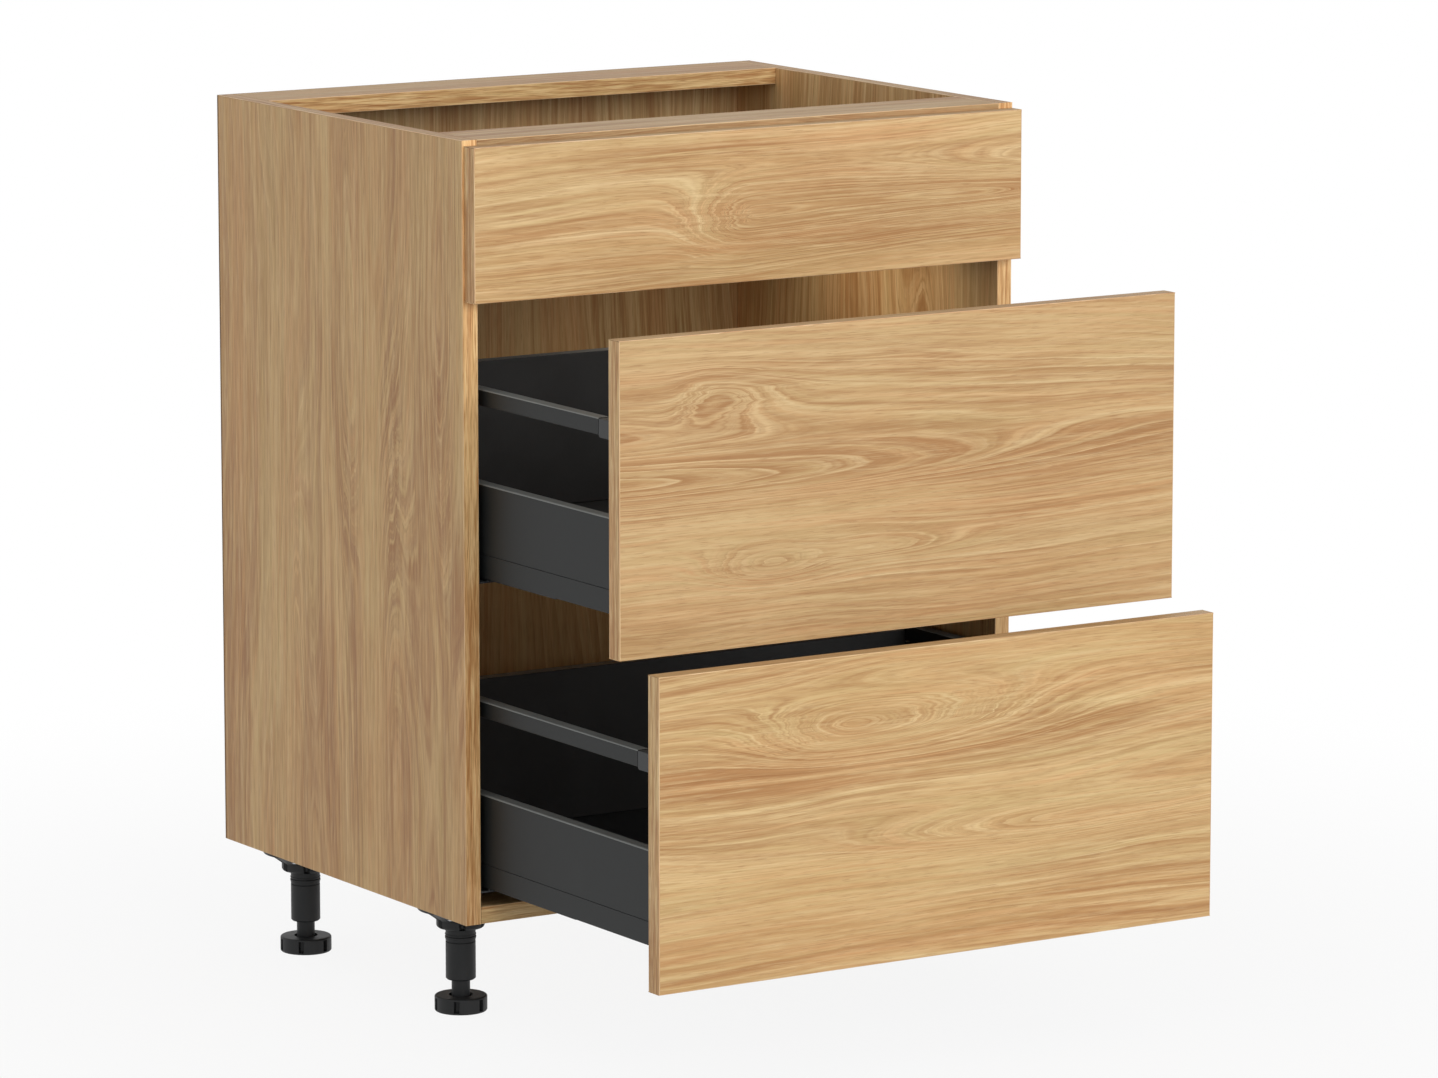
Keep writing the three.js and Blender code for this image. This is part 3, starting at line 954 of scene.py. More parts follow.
class Blank:
    """A mesh in the making, which becomes one piece."""

    flat_top: float = 0.97
    leaning_top: float = 0.25

    def __init__(self) -> None:
        """Starts empty, with the layer that the wood pattern reads."""
        self.mesh = bmesh.new()
        self.grain = self.mesh.loops.layers.float_vector.new("grain")

    def close(self, faces: Faces) -> Faces:
        """Turns a closed set of faces outwards."""
        bmesh.ops.recalc_face_normals(self.mesh, faces=faces)
        return faces

    def mark_tops(self, faces: Faces, flat: int, bend: int | None = None, above: float = 0.0) -> None:
        """Gives the faces that look up other material slots, which carry painted light.

        Args:
            faces: The faces to look at.
            flat: The slot of faces that lie flat.
            bend: The slot of faces that lean, or nothing to leave them.
            above: The height from which leaning faces count.
        """
        for face in faces:
            face.normal_update()
            rise = face.normal.z
            if rise > self.flat_top:
                face.material_index = flat
            elif bend is not None and rise > self.leaning_top and face.calc_center_median().z > above:
                face.material_index = bend

    def strip(self, near: list[bmesh.types.BMVert], far: list[bmesh.types.BMVert]) -> Faces:
        """Joins two rings of corners by a strip of faces, where either may be a single point.

        Args:
            near: The first ring.
            far: The second one.

        Returns:
            The new faces.
        """
        faces = []
        count = max(len(near), len(far))
        for number in range(count):
            ahead = (number + 1) % count
            corners = [near[number % len(near)], near[ahead % len(near)]]
            corners += [far[ahead % len(far)], far[number % len(far)]]
            faces.append(self.mesh.faces.new(list(dict.fromkeys(corners))))
        return faces

    def bar(
        self, outline: Sequence[Point], place: Matrix, length: float, hole: Sequence[Point] = ()
    ) -> Faces:
        """Runs an outline along a straight line.

        Args:
            outline: The closed outline.
            place: Takes (across, up, along) of the bar into the cabinet's frame.
            length: The bar's length.
            hole: A hollow, with as many points as the outline.

        Returns:
            The new faces.
        """
        outer, inner = [
            [[self.mesh.verts.new(place @ Vector((x, y, z))) for x, y in line] for z in (0.0, length)]
            for line in (outline, hole)
        ]
        faces = self.strip(*outer)
        if hole:
            faces += self.strip(*inner)
            for rim, hollow in zip(outer, inner):
                faces += self.strip(rim, hollow)
        else:
            faces += [self.mesh.faces.new(rim) for rim in outer]
        return self.close(faces)

    def soften(self, faces: Faces, radius: float, steps: int) -> Faces:
        """Rounds all edges of a closed set of faces.

        Args:
            faces: The faces.
            radius: The radius of the edges.
            steps: Into how many strips an edge is divided.

        Returns:
            The faces that are there now.
        """
        edges = list({edge for face in faces for edge in face.edges})
        rounded = bmesh.ops.bevel(
            self.mesh, geom=edges, offset=radius, segments=steps, profile=0.5, affect="EDGES"
        )
        verts = {vert for face in rounded["faces"] for vert in face.verts}
        return self.close(list({face for vert in verts for face in vert.link_faces}))

    def block(self, box: Box, radius: float, steps: int) -> Faces:
        """A box with rounded edges.

        Args:
            box: Its corners.
            radius: The radius of its edges.
            steps: Into how many strips an edge is divided.

        Returns:
            The new faces.
        """
        place = Matrix.Translation(box.middle) @ Matrix.Diagonal((*box.size, 1.0))
        made = bmesh.ops.create_cube(self.mesh, size=1.0, matrix=place)
        faces = list({face for vert in made["verts"] for face in vert.link_faces})
        return self.soften(faces, radius, steps)

    def turned(
        self,
        points: Sequence[Point],
        centre: Vector,
        steps: int,
        bulge: Callable[[float, float, float], float] | None = None,
    ) -> Faces:
        """Turns a line of (radius, height) points about an upright axis.

        Args:
            points: The line, which ends on the axis wherever the piece is closed.
            centre: Where radius and height are zero.
            steps: How many sides the piece has.
            bulge: Changes a radius, given the radius, the height and the angle.

        Returns:
            The new faces.
        """
        rings: list[list[bmesh.types.BMVert]] = []
        for radius, height in points:
            ring = []
            for step in range(steps if radius > TINY else 1):
                angle = FULL_TURN * step / steps
                reach = bulge(radius, height, angle) if bulge else radius
                spot = Vector((reach * math.cos(angle), reach * math.sin(angle), height))
                ring.append(self.mesh.verts.new(centre + spot))
            rings.append(ring)
        faces = []
        for lower, upper in zip(rings, rings[1:]):
            faces += self.strip(lower, upper)
        return self.close(faces)

    def lay_grain(
        self, faces: Faces, origin: Vector, along: Axis, across: Axis, layer: float, finer: float = 1.0
    ) -> None:
        """Writes where each corner lies in the wood pattern.

        Args:
            faces: The faces to write on.
            origin: Where the pattern starts.
            along: The axis of the grain.
            across: The axis across it.
            layer: The number of this print.
            finer: How many times finer the print is.
        """
        for face in faces:
            for loop in face.loops:
                spot = (loop.vert.co - origin) * finer
                loop[self.grain] = Vector((spot[along.value], spot[across.value], layer))

    def piece(
        self, name: str, finishes: Sequence[Finish], smooth: float | None = None
    ) -> bpy.types.Object:
        """Makes the object.

        Args:
            name: The piece's name.
            finishes: Its finishes, by slot.
            smooth: The angle in degrees up to which edges look round, or nothing for flat faces.

        Returns:
            The object, linked to the scene.
        """
        data = bpy.data.meshes.new(name)
        self.mesh.to_mesh(data)
        self.mesh.free()
        for finish in finishes:
            data.materials.append(material_of(finish))
        made = linked(name, data)
        if smooth is not None:
            data.shade_smooth()
            data.set_sharp_from_angle(angle=math.radians(smooth))
            made.modifiers.new("even_shading", "WEIGHTED_NORMAL").keep_sharp = True
            settled(made)
        return made


def linked(name: str, data: bpy.types.ID) -> bpy.types.Object:
    """Makes an object and links it to the scene.

    Args:
        name: The object's name.
        data: Its mesh, lamp or camera.

    Returns:
        The object.
    """
    made = bpy.data.objects.new(name, data)
    bpy.context.scene.collection.objects.link(made)
    return made


def settled(made: bpy.types.Object) -> bpy.types.Object:
    """Turns an object's modifiers into its plain mesh.

    Args:
        made: The object.

    Returns:
        The same object, without modifiers.
    """
    graph = bpy.context.evaluated_depsgraph_get()
    plain = bpy.data.meshes.new_from_object(made.evaluated_get(graph))
    made.modifiers.clear()
    plain.name = made.name
    made.data = plain
    return made


def along_axes(origin: Vector, across: Vector, up: Vector, along: Vector) -> Matrix:
    """A frame for a bar: its outline's two directions, and the one it runs in."""
    columns = (across, up, along, origin)
    return Matrix([[column[row] for column in columns] for row in range(3)] + [[0, 0, 0, 1]])


def deliver(piece: bpy.types.Object, slot: str, node: str, instead: bool = True) -> None:
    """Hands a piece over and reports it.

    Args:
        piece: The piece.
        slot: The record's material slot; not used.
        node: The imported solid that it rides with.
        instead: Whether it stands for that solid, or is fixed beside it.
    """
    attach(piece, frame["nodes"][node]["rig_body"])
    if instead:
        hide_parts(node)
    log.info("%s: %d faces", piece.name, len(piece.data.polygons))


# ---- Patterns of small parts --------------------------------------------------------------------


@dataclass(frozen=True)
class Spot:
    """A place for a small part, and the way it faces."""

    place: Vector
    facing: Vector


@dataclass
class Pattern:
    """Small equal parts on given spots, made by geometry nodes and turned by chance."""

    name: str
    finish: Finish

    def sizes(self) -> dict[str, float]:
        """The named sizes of one part, with the seed."""
        raise NotImplementedError

    def part(self, tree: Tree, size: Callable[[str], Wire]) -> Wire:
        """Adds the nodes of one part, standing on its spot along +Z."""
        raise NotImplementedError

    def _group(self) -> tuple[bpy.types.NodeTree, dict[str, str]]:
        """Makes the node group that sets the part on every point.

        Returns:
            The group, and the identifier of each named size's socket.
        """
        group = bpy.data.node_groups.new(self.name, "GeometryNodeTree")
        for way in ("INPUT", "OUTPUT"):
            group.interface.new_socket("Geometry", in_out=way, socket_type="NodeSocketGeometry")
        keys = {}
        for name in self.sizes():
            made = group.interface.new_socket(name, in_out="INPUT", socket_type="NodeSocketFloat")
            keys[name] = made.identifier
        tree = Tree(group)
        given = tree.node("NodeGroupInput")
        points = tree.node("GeometryNodeMeshToPoints", {}, {0: given})
        vectors = {"data_type": "FLOAT_VECTOR"}
        facing = tree.node("GeometryNodeInputNamedAttribute", vectors, {"Name": "facing"})
        aligned = tree.node("FunctionNodeAlignRotationToVector", {"axis": "Z"}, {"Vector": facing})
        limits = {"Min_001": 0.0, "Max_001": math.pi, "Seed": given.other("Seed")}
        chance = tree.node("FunctionNodeRandomValue", {"data_type": "FLOAT"}, limits, "Value_001")
        spin = tree.node("FunctionNodeAxisAngleToRotation", {}, {"Axis": (0, 0, 1), "Angle": chance})
        both = {"Rotation": aligned, "Rotate By": spin}
        turned = tree.node("FunctionNodeRotateRotation", {"rotation_space": "LOCAL"}, both)
        laid = {"Points": points, "Instance": self.part(tree, given.other), "Rotation": turned}
        placed = tree.node("GeometryNodeInstanceOnPoints", {}, laid)
        real = tree.node("GeometryNodeRealizeInstances", {}, {0: placed})
        dress = {0: real, "Material": material_of(self.finish)}
        tree.node("NodeGroupOutput", {}, {0: tree.node("GeometryNodeSetMaterial", {}, dress)})
        return group, keys

    def build(self, spots: Sequence[Spot]) -> bpy.types.Object:
        """Makes one plain mesh with a part on every spot.

        Args:
            spots: Where the parts go.

        Returns:
            The object.
        """
        group, keys = self._group()
        data = bpy.data.meshes.new(self.name)
        data.from_pydata([spot.place for spot in spots], [], [])
        ways = data.attributes.new("facing", "FLOAT_VECTOR", "POINT")
        for number, spot in enumerate(spots):
            ways.data[number].vector = spot.facing
        made = linked(self.name, data)
        pattern = made.modifiers.new("pattern", "NODES")
        pattern.node_group = group
        for name, value in self.sizes().items():
            pattern[keys[name]] = value
        return settled(made)


@dataclass
class ScrewHeads(Pattern):
    """Pan heads with a cross recess: a skirt, a narrower crown and two crossing slits."""

    radius: float
    height: float
    seed: float
    sides: int = 20

    def sizes(self) -> dict[str, float]:
        """The named sizes of one head."""
        return {"Radius": self.radius, "Height": self.height, "Seed": self.seed}

    def part(self, tree: Tree, size: Callable[[str], Wire]) -> Wire:
        """Adds the nodes of one head.

        Args:
            tree: The geometry tree.
            size: Gives the wire of a named size.

        Returns:
            The head's mesh.
        """
        radius, height = size("Radius"), size("Height")

        def moved(shape: Wire, lift: Wire | float, turn: float = 0.0) -> Wire:
            """The shape, lifted and turned about its axis."""
            way = {"Translation": tree.vector(0.0, 0.0, lift), "Rotation": (0.0, 0.0, turn)}
            return tree.node("GeometryNodeTransform", {}, {"Geometry": shape, **way})

        def cone(top: float, bottom: float, depth: float) -> Wire:
            """A cone without its tip, in shares of the head's radius and height.

            Args:
                top: The share of the radius at its top.
                bottom: The share of the radius at its bottom.
                depth: The share of the height.

            Returns:
                The cone's mesh.
            """
            ends = {"Radius Top": radius * top, "Radius Bottom": radius * bottom}
            shape = {"Vertices": self.sides, **ends, "Depth": height * depth}
            return tree.node("GeometryNodeMeshCone", {"fill_type": "NGON"}, shape)

        solids = [cone(0.96, 1.0, 0.5), moved(cone(0.62, 0.955, 0.55), height * 0.45)]
        head = tree.node("GeometryNodeMeshBoolean", {"operation": "UNION"}, {"Mesh 2": solids})
        for turn in (0.0, FULL_TURN / 4):
            size_of_slit = tree.vector(radius * 1.05, radius * 0.2, height)
            slit = moved(tree.node("GeometryNodeMeshCube", {}, {"Size": size_of_slit}), height, turn)
            both = {"Mesh 1": head, "Mesh 2": slit}
            head = tree.node("GeometryNodeMeshBoolean", {"operation": "DIFFERENCE"}, both)
        return head


@dataclass
class Balls(Pattern):
    """Steel balls of the runners."""

    radius: float = 1.5 * MM

    def sizes(self) -> dict[str, float]:
        """The named sizes of one ball."""
        return {"Radius": self.radius, "Seed": 1.0}

    def part(self, tree: Tree, size: Callable[[str], Wire]) -> Wire:
        """Adds the nodes of one smooth ball.

        Args:
            tree: The geometry tree.
            size: Gives the wire of a named size.

        Returns:
            The ball's mesh.
        """
        shape = {"Radius": size("Radius"), "Subdivisions": 3}
        ball = tree.node("GeometryNodeMeshIcoSphere", {}, shape)
        return tree.node("GeometryNodeSetShadeSmooth", {}, {0: ball})


# ---- Boards -------------------------------------------------------------------------------------


class BoardSlot(IntEnum):
    """The material slots of a decor board."""

    FOIL = 0
    CHIPS = 1
    BAND = 2
    # Painted highlight on the bands' rounded arrises.
    ARRIS = 3
    # Painted shade on the bands of top edges.
    TOP_BAND = 4


@dataclass
class DecorBoard:
    """A foiled chipboard with a band glued on each edge that shows."""

    node: str
    slot: str
    grain: Axis
    thickness: Axis
    banded: tuple[Edge, ...]
    decor: WoodDecor
    layer: float
    band_decor: WoodDecor = EDGE_BAND
    band: float = 0.8 * MM
    arris: float = 0.6 * MM
    seam: float = 0.12 * MM
    band_print: float = 1.3
    other_face: float = 5.3
    next_band: float = 0.37
    arris_lean: float = 0.2

    def build(self) -> None:
        """Builds the board and hands it over."""
        room = core = whole = Box.of(self.node)
        for axis, side in self.banded:
            core = core.shrunk(axis, side, self.band)
        blank = Blank()
        self._lay_core(blank, core, whole)
        for number, edge in enumerate(self.banded, 1):
            self._lay_band(blank, room, whole, edge, self.layer + self.next_band * number)
            room = room.shrunk(*edge, self.band)
        # The arris slot carries a painted highlight and the top band slot painted shade.
        finishes = (self.decor, Chipboard(), self.band_decor, ARRIS_HIGHLIGHT, RAIL_SHADED_DECOR)
        deliver(blank.piece(self.node + "_board", finishes), self.slot, self.node)

    def _origin(self, whole: Box, along: Axis) -> Vector:
        """Where the pattern starts: the middle along the grain, the low edge across it.

        Args:
            whole: The board's box.
            along: The axis of the grain.

        Returns:
            The place.
        """
        origin = whole.low.copy()
        origin[along.value] = whole.middle[along.value]
        return origin

    def _lay_core(self, blank: Blank, core: Box, whole: Box) -> None:
        """Adds the core, with foil on its wide faces and flakes on its edges.

        Args:
            blank: The mesh.
            core: The core's box.
            whole: The board's box.
        """
        origin = self._origin(whole, self.grain)
        across = Axis.besides(self.grain, self.thickness)
        for face in blank.block(core, self.seam, 1):
            facing = face.normal[self.thickness.value]
            face.material_index = BoardSlot.FOIL if abs(facing) > 0.5 else BoardSlot.CHIPS
            layer = self.layer + (0.0 if facing < 0 else self.other_face)
            blank.lay_grain([face], origin, self.grain, across, layer)

    def _lay_band(self, blank: Blank, room: Box, whole: Box, edge: Edge, layer: float) -> None:
        """Adds one band, with its outer corners broken.

        Args:
            blank: The mesh.
            room: The board's box less the bands that are on it.
            whole: The board's box.
            edge: The edge that the band covers.
            layer: The number of its print.
        """
        axis, side = edge
        run = Axis.besides(axis, self.thickness)
        width, length = room.size[self.thickness.value], room.size[run.value]
        outer = ((width, self.band, self.arris), (0.0, self.band, self.arris))
        outline = round_corners(((0.0, 0.0), (width, 0.0), *outer), 3)
        origin = room.low.copy()
        origin[axis.value] = (room.low if side < 0 else room.high)[axis.value] - side * self.band
        way = (self.thickness.direction, axis.direction * side, run.direction)
        faces = blank.bar(outline, along_axes(origin, *way), length)
        for face in faces:
            face.normal_update()
            leans = min(abs(face.normal[axis.value]), abs(face.normal[self.thickness.value]))
            # Arris faces take the painted highlight; bands on a top edge the painted shade.
            flat = BoardSlot.TOP_BAND if edge == TOP else BoardSlot.BAND
            face.material_index = BoardSlot.ARRIS if leans > self.arris_lean else flat
        start = self._origin(whole, run)
        blank.lay_grain(faces, start, run, self.thickness, layer, self.band_print)


@dataclass
class BlackDrawerBoard:
    """A floor or back of a drawer: black melamine, with painted light on a back's upper edge."""

    node: str
    upright: bool
    arris: float = 0.7 * MM

    def build(self) -> None:
        """Builds the board and hands it over."""
        blank = Blank()
        faces = blank.block(Box.of(self.node), self.arris, 3)
        if self.upright:
            # Painted light on a back's upward edge.
            blank.mark_tops(faces, 1)
        board = blank.piece(self.node + "_board", (BLACK_BOARD, BOARD_TOP_LIT))
        deliver(board, "black_board", self.node)


@dataclass
class BackBoard:
    """The thin back of the cabinet: decor inside, raw fibreboard and nails at the rear."""

    node: str = "back_board"
    nail_height: float = 0.3 * MM
    nail_radius: float = 2.2 * MM
    nail_inset: float = 8 * MM
    nail_pitch: float = 120 * MM
    nail_seed: float = 3.0
    arris: float = 0.3 * MM
    layer: float = 90.0

    def build(self) -> None:
        """Builds the board with its nails and hands them over."""
        box = Box.of(self.node).shrunk(*REAR, self.nail_height)
        origin = Vector((box.low.x, 0.0, box.middle.z))
        blank = Blank()
        for face in blank.block(box, self.arris, 1):
            face.material_index = 0 if face.normal.y < -0.5 else 1
            blank.lay_grain([face], origin, Axis.UP, Axis.ACROSS, self.layer)
        sheet = blank.piece("back_board_sheet", (CARCASS_DECOR, Fibreboard()))
        deliver(sheet, "back_board", self.node)
        head = (self.nail_radius, self.nail_height, self.nail_seed)
        nails = ScrewHeads("back_board_nails", BRIGHT_ZINC, *head)
        deliver(nails.build(self._nail_spots(box)), "zinc_steel", self.node, instead=False)

    def _row(self, low: float, high: float) -> list[float]:
        """Evenly spaced places between two edges, with the inset at both ends.

        Args:
            low: The low edge.
            high: The high edge.

        Returns:
            The places.
        """
        span = high - low - 2 * self.nail_inset
        count = round(span / self.nail_pitch)
        return [low + self.nail_inset + span * number / count for number in range(count + 1)]

    def _nail_spots(self, box: Box) -> list[Spot]:
        """The nails' places, round the edge of the board.

        Args:
            box: The board.

        Returns:
            The spots, all facing the rear.
        """
        columns = self._row(box.low.x, box.high.x)
        rows = self._row(box.low.z, box.high.z)
        places = [(x, z) for z in rows for x in (columns[0], columns[-1])]
        places += [(x, z) for x in columns[1:-1] for z in (rows[0], rows[-1])]
        return [Spot(Vector((x, box.high.y, z)), REARWARD) for x, z in places]


@dataclass
class Carcass:
    """The fixed body: two side panels, bottom, two top rails and the back board."""

    slot: str = "carcass_decor"

    def build(self) -> None:
        """Builds every board of the carcass."""
        upright = (Axis.UP, Axis.ACROSS, (FRONT, TOP))
        lying = (Axis.ACROSS, Axis.UP)
        boards = (
            ("side_panel_left", *upright, LEFT_PANEL_DECOR, 3.0, PANEL_BAND),
            ("side_panel_right", *upright, RIGHT_PANEL_DECOR, 17.0, PANEL_BAND),
            ("bottom_panel", *lying, (FRONT,), CARCASS_DECOR, 31.0, EDGE_BAND),
            ("top_rail_front", *lying, (FRONT, REAR), RAIL_SHADED_DECOR, 37.0, RAIL_SHADED_DECOR),
            ("top_rail_rear", *lying, (FRONT,), RAIL_SHADED_DECOR, 43.0, EDGE_BAND),
        )
        for node, *facts in boards:
            DecorBoard(node, self.slot, *facts).build()
        BackBoard().build()


# ---- Legs ---------------------------------------------------------------------------------------


@dataclass
class Leg:
    """A levelling leg: flanged socket, tube and a foot on a threaded stem."""

    row: str
    hand: Hand
    slot: str = "black_plastic"
    steps: int = 64
    flange: float = 3 * MM
    flange_round: float = 0.8 * MM
    roof: float = 4 * MM
    cone: float = 9.8 * MM
    cone_inset: float = 4 * MM
    collar_width: float = 8.5 * MM
    collar_height: float = 8 * MM
    collar_round: float = 3 * MM
    notches: int = 6
    notch_depth: float = 3.4 * MM
    notch_share: float = 0.17
    sleeve: float = 6 * MM
    sleeve_wall: float = 2 * MM
    ring: float = 0.5 * MM
    ring_groove: tuple[float, ...] = (-2.4 * MM, -2.0 * MM, -1.0 * MM, -0.6 * MM)
    boss_radius: float = 5.2 * MM
    boss_drop: float = 6.4 * MM
    boss_inset: float = 1.5 * MM
    boss_round: float = 0.8 * MM
    boss_steps: int = 24
    screws: int = 4
    screw_head: tuple[float, float, float] = (3.6 * MM, 1.5 * MM, 5.0)
    fit: float = 0.2 * MM
    neck_step: float = 2.3 * MM
    bore_fit: float = 0.3 * MM
    bore_room: float = 18 * MM
    bore_chamfer: float = 0.6 * MM
    tube_chamfer: float = 1.2 * MM
    tube_groove: tuple[float, ...] = (-3.4 * MM, -3.1 * MM, -2.3 * MM, -2.0 * MM)
    tube_groove_depth: float = 0.9 * MM
    stem: float = 8.6 * MM
    stem_tip: float = 1 * MM
    pitch: float = 2.4 * MM
    thread_depth: float = 0.7 * MM
    thread_start: float = 2 * MM
    thread_spare: float = 5 * MM
    disc_height: float = 15 * MM
    disc_round: float = 1.8 * MM
    disc_steps: int = 180
    sole_rim: float = 7.6 * MM
    sole_hollow: float = 1.2 * MM
    sole_slope: float = 0.6 * MM
    recess: float = 2.6 * MM
    recess_depth: float = 6 * MM
    grips: int = 6
    grip_width: float = 4 * MM
    grip_depth: float = 4.5 * MM
    grip_margin: float = 2 * MM
    grip_edge: float = 0.05 * MM
    grip_turn: float = 9.5

    def __post_init__(self) -> None:
        """Reads the boxes of its three solids."""
        self.name = f"leg_{self.row}_{self.hand.word}"
        self.socket = Box.of(f"{self.name}_socket")
        self.tube = Box.of(f"{self.name}_tube")
        self.foot = Box.of(f"{self.name}_foot")

    def build(self) -> None:
        """Builds the three parts and the screws of the flange."""
        self._socket()
        self._screws()
        self._tube()
        self._foot()

    def _deliver(self, blank: Blank, part: str, smooth: float) -> None:
        """Hands over one moulded part."""
        made = blank.piece(f"{self.name}_{part}_moulding", (BLACK_PLASTIC,), smooth)
        deliver(made, self.slot, f"{self.name}_{part}")

    def _socket(self) -> None:
        """Builds the socket: flange, cone, notched collar, ringed sleeve and screw bosses."""
        centre = Vector((self.socket.middle.x, self.socket.middle.y, self.socket.high.z))
        rim, tube = self.socket.size.x / 2, self.tube.size.x / 2
        collar = tube + self.collar_width
        cone_top = -self.flange
        collar_top = cone_top - self.cone
        collar_low = collar_top - self.collar_height
        ring_top = collar_low - self.sleeve
        bottom = -self.socket.size.z
        inner = tube - self.sleeve_wall
        line = [
            (0.0, -self.roof),
            (inner, -self.roof),
            (inner, bottom),
            (tube + self.ring, bottom),
            *groove(tube + self.ring, 2 * self.ring, [ring_top + lift for lift in self.ring_groove]),
            (tube + self.ring, ring_top),
            (tube, ring_top),
            (tube, collar_low),
            (collar, collar_low, self.collar_round),
            (collar, collar_top),
            (rim - self.cone_inset, cone_top),
            (rim, cone_top, self.flange_round),
            (rim, 0.0),
            (0.0, 0.0),
        ]

        def notched(radius: float, height: float, angle: float) -> float:
            """Takes the notches out of the collar.

            Args:
                radius: The radius of the plain shape.
                height: The height from the centre.
                angle: The angle about the axis.

            Returns:
                The radius with the notches.
            """
            outside = radius >= collar - self.collar_round / 2
            if not outside or not collar_low <= height <= collar_top + TINY:
                return radius
            share = (angle * self.notches / FULL_TURN) % 1
            return radius - (self.notch_depth if share < self.notch_share else 0.0)

        blank = Blank()
        blank.turned(round_corners(line), centre, self.steps, notched)
        for spot in self._screw_circle():
            top, radius = spot.z + self.boss_drop, self.boss_radius
            boss = [(0.0, top), (radius, top), (radius, spot.z, self.boss_round), (0.0, spot.z)]
            blank.turned(round_corners(boss), Vector((spot.x, spot.y, 0.0)), self.boss_steps)
        self._deliver(blank, "socket", 40)

    def _screw_circle(self) -> list[Vector]:
        """The lower ends of the screw bosses under the flange.

        Returns:
            Their middles.
        """
        middle = self.socket.middle
        reach = self.socket.size.x / 2 - self.boss_radius - self.boss_inset
        height = self.socket.high.z - self.fit - self.boss_drop
        angles = [FULL_TURN * (number + 0.5) / self.screws for number in range(self.screws)]
        return [
            Vector((middle.x + math.cos(angle) * reach, middle.y + math.sin(angle) * reach, height))
            for angle in angles
        ]

    def _screws(self) -> None:
        """Puts a screw head on each boss."""
        spots = [Spot(place, -UPWARD) for place in self._screw_circle()]
        heads = ScrewHeads(f"{self.name}_screws", BRIGHT_ZINC, *self.screw_head)
        deliver(heads.build(spots), "zinc_steel", f"{self.name}_socket", instead=False)

    def _tube(self) -> None:
        """Builds the tube with its neck in the socket and its bore for the stem."""
        box = self.tube
        radius, low, high = box.size.x / 2, box.low.z, box.high.z
        neck = radius - self.neck_step
        bore = self.stem + self.bore_fit
        shoulder = self.socket.low.z - self.fit
        bore_top = self.foot.high.z + self.bore_room
        heights = [shoulder + lift for lift in self.tube_groove]
        line = [
            (0.0, bore_top),
            (bore, bore_top),
            (bore, low + self.bore_chamfer),
            (bore + self.bore_chamfer, low),
            (radius - self.tube_chamfer, low),
            (radius, low + self.tube_chamfer),
            *groove(radius, self.tube_groove_depth, heights),
            (radius, shoulder),
            (neck, shoulder),
            (neck, high),
            (0.0, high),
        ]
        blank = Blank()
        blank.turned(line, Vector((box.middle.x, box.middle.y, 0.0)), self.steps)
        self._deliver(blank, "tube", 40)

    def _foot_line(self, radius: float) -> list[Point]:
        """Half the section of the foot: hollow sole, disc with its recess, threaded stem.

        Args:
            radius: The disc's radius.

        Returns:
            The line, from the axis to the axis.
        """
        top, stem, rim = self.disc_height, self.stem, radius - self.sole_rim
        inside = stem + self.recess
        height = self.foot.size.z
        tube_low = self.tube.low.z - self.foot.low.z
        start = tube_low + self.thread_start
        line = [
            (0.0, self.sole_hollow),
            (rim + self.sole_slope, self.sole_hollow),
            (rim, 0.0),
            (radius, 0.0, self.disc_round),
            (radius, top, self.disc_round),
            (inside, top),
            (inside, top - self.recess_depth),
            (stem, top - self.recess_depth),
            (stem, start),
        ]
        for turn in range(int((height - tube_low - self.thread_spare) / self.pitch)):
            heights = [start + (turn + share) * self.pitch for share in (0.35, 0.6, 0.85, 1.0)]
            reaches = (stem - self.thread_depth, stem - self.thread_depth, stem, stem)
            line += zip(reaches, heights)
        line += [(stem - self.stem_tip, height), (0.0, height)]
        return round_corners(line)

    def _foot(self) -> None:
        """Builds the foot, with extra rings on the disc's wall where the grips begin and end."""
        radius, top, margin = self.foot.size.x / 2, self.disc_height, self.grip_margin
        half = self.grip_width / 2 / radius
        edges = (margin - self.grip_edge, margin, top - margin, top - margin + self.grip_edge)

        def gripped(reach: float, height: float, angle: float) -> float:
            """Takes the grips out of the disc's rim.

            Args:
                reach: The radius of the plain shape.
                height: The height from the centre.
                angle: The angle about the axis.

            Returns:
                The radius with the grips.
            """
            if reach < radius - self.disc_round - TINY or not margin <= height <= top - margin:
                return reach
            turn = angle - self.hand.value * math.radians(self.grip_turn)
            away = abs((turn * self.grips / FULL_TURN + 0.5) % 1 - 0.5) * FULL_TURN / self.grips
            return radius - self.grip_depth if away < half else reach

        line: list[Point] = []
        points = self._foot_line(radius)
        for near, far in zip(points, points[1:] + points[-1:]):
            line.append(near)
            if min(near[0], far[0]) > radius - TINY:
                line += [(radius, height) for height in edges]
        centre = Vector((self.foot.middle.x, self.foot.middle.y, self.foot.low.z))
        blank = Blank()
        blank.turned(line, centre, self.disc_steps, gripped)
        self._deliver(blank, "foot", 35)


# ---- Drawers ------------------------------------------------------------------------------------


class SteelSlot(IntEnum):
    """The material slots of painted steel, in the order of STEEL_FINISHES."""

    WALL = 0
    # Painted light on faces that look up.
    TOP = 1
    # Painted highlight on the upper bends.
    BEND = 2
    # Painted shade on the crease's flank that faces down.
    SHADE = 3


STEEL_FINISHES = (STEEL, STEEL_TOP_LIT, STEEL_BEND_HIGHLIGHT, STEEL_CREASE_SHADE)


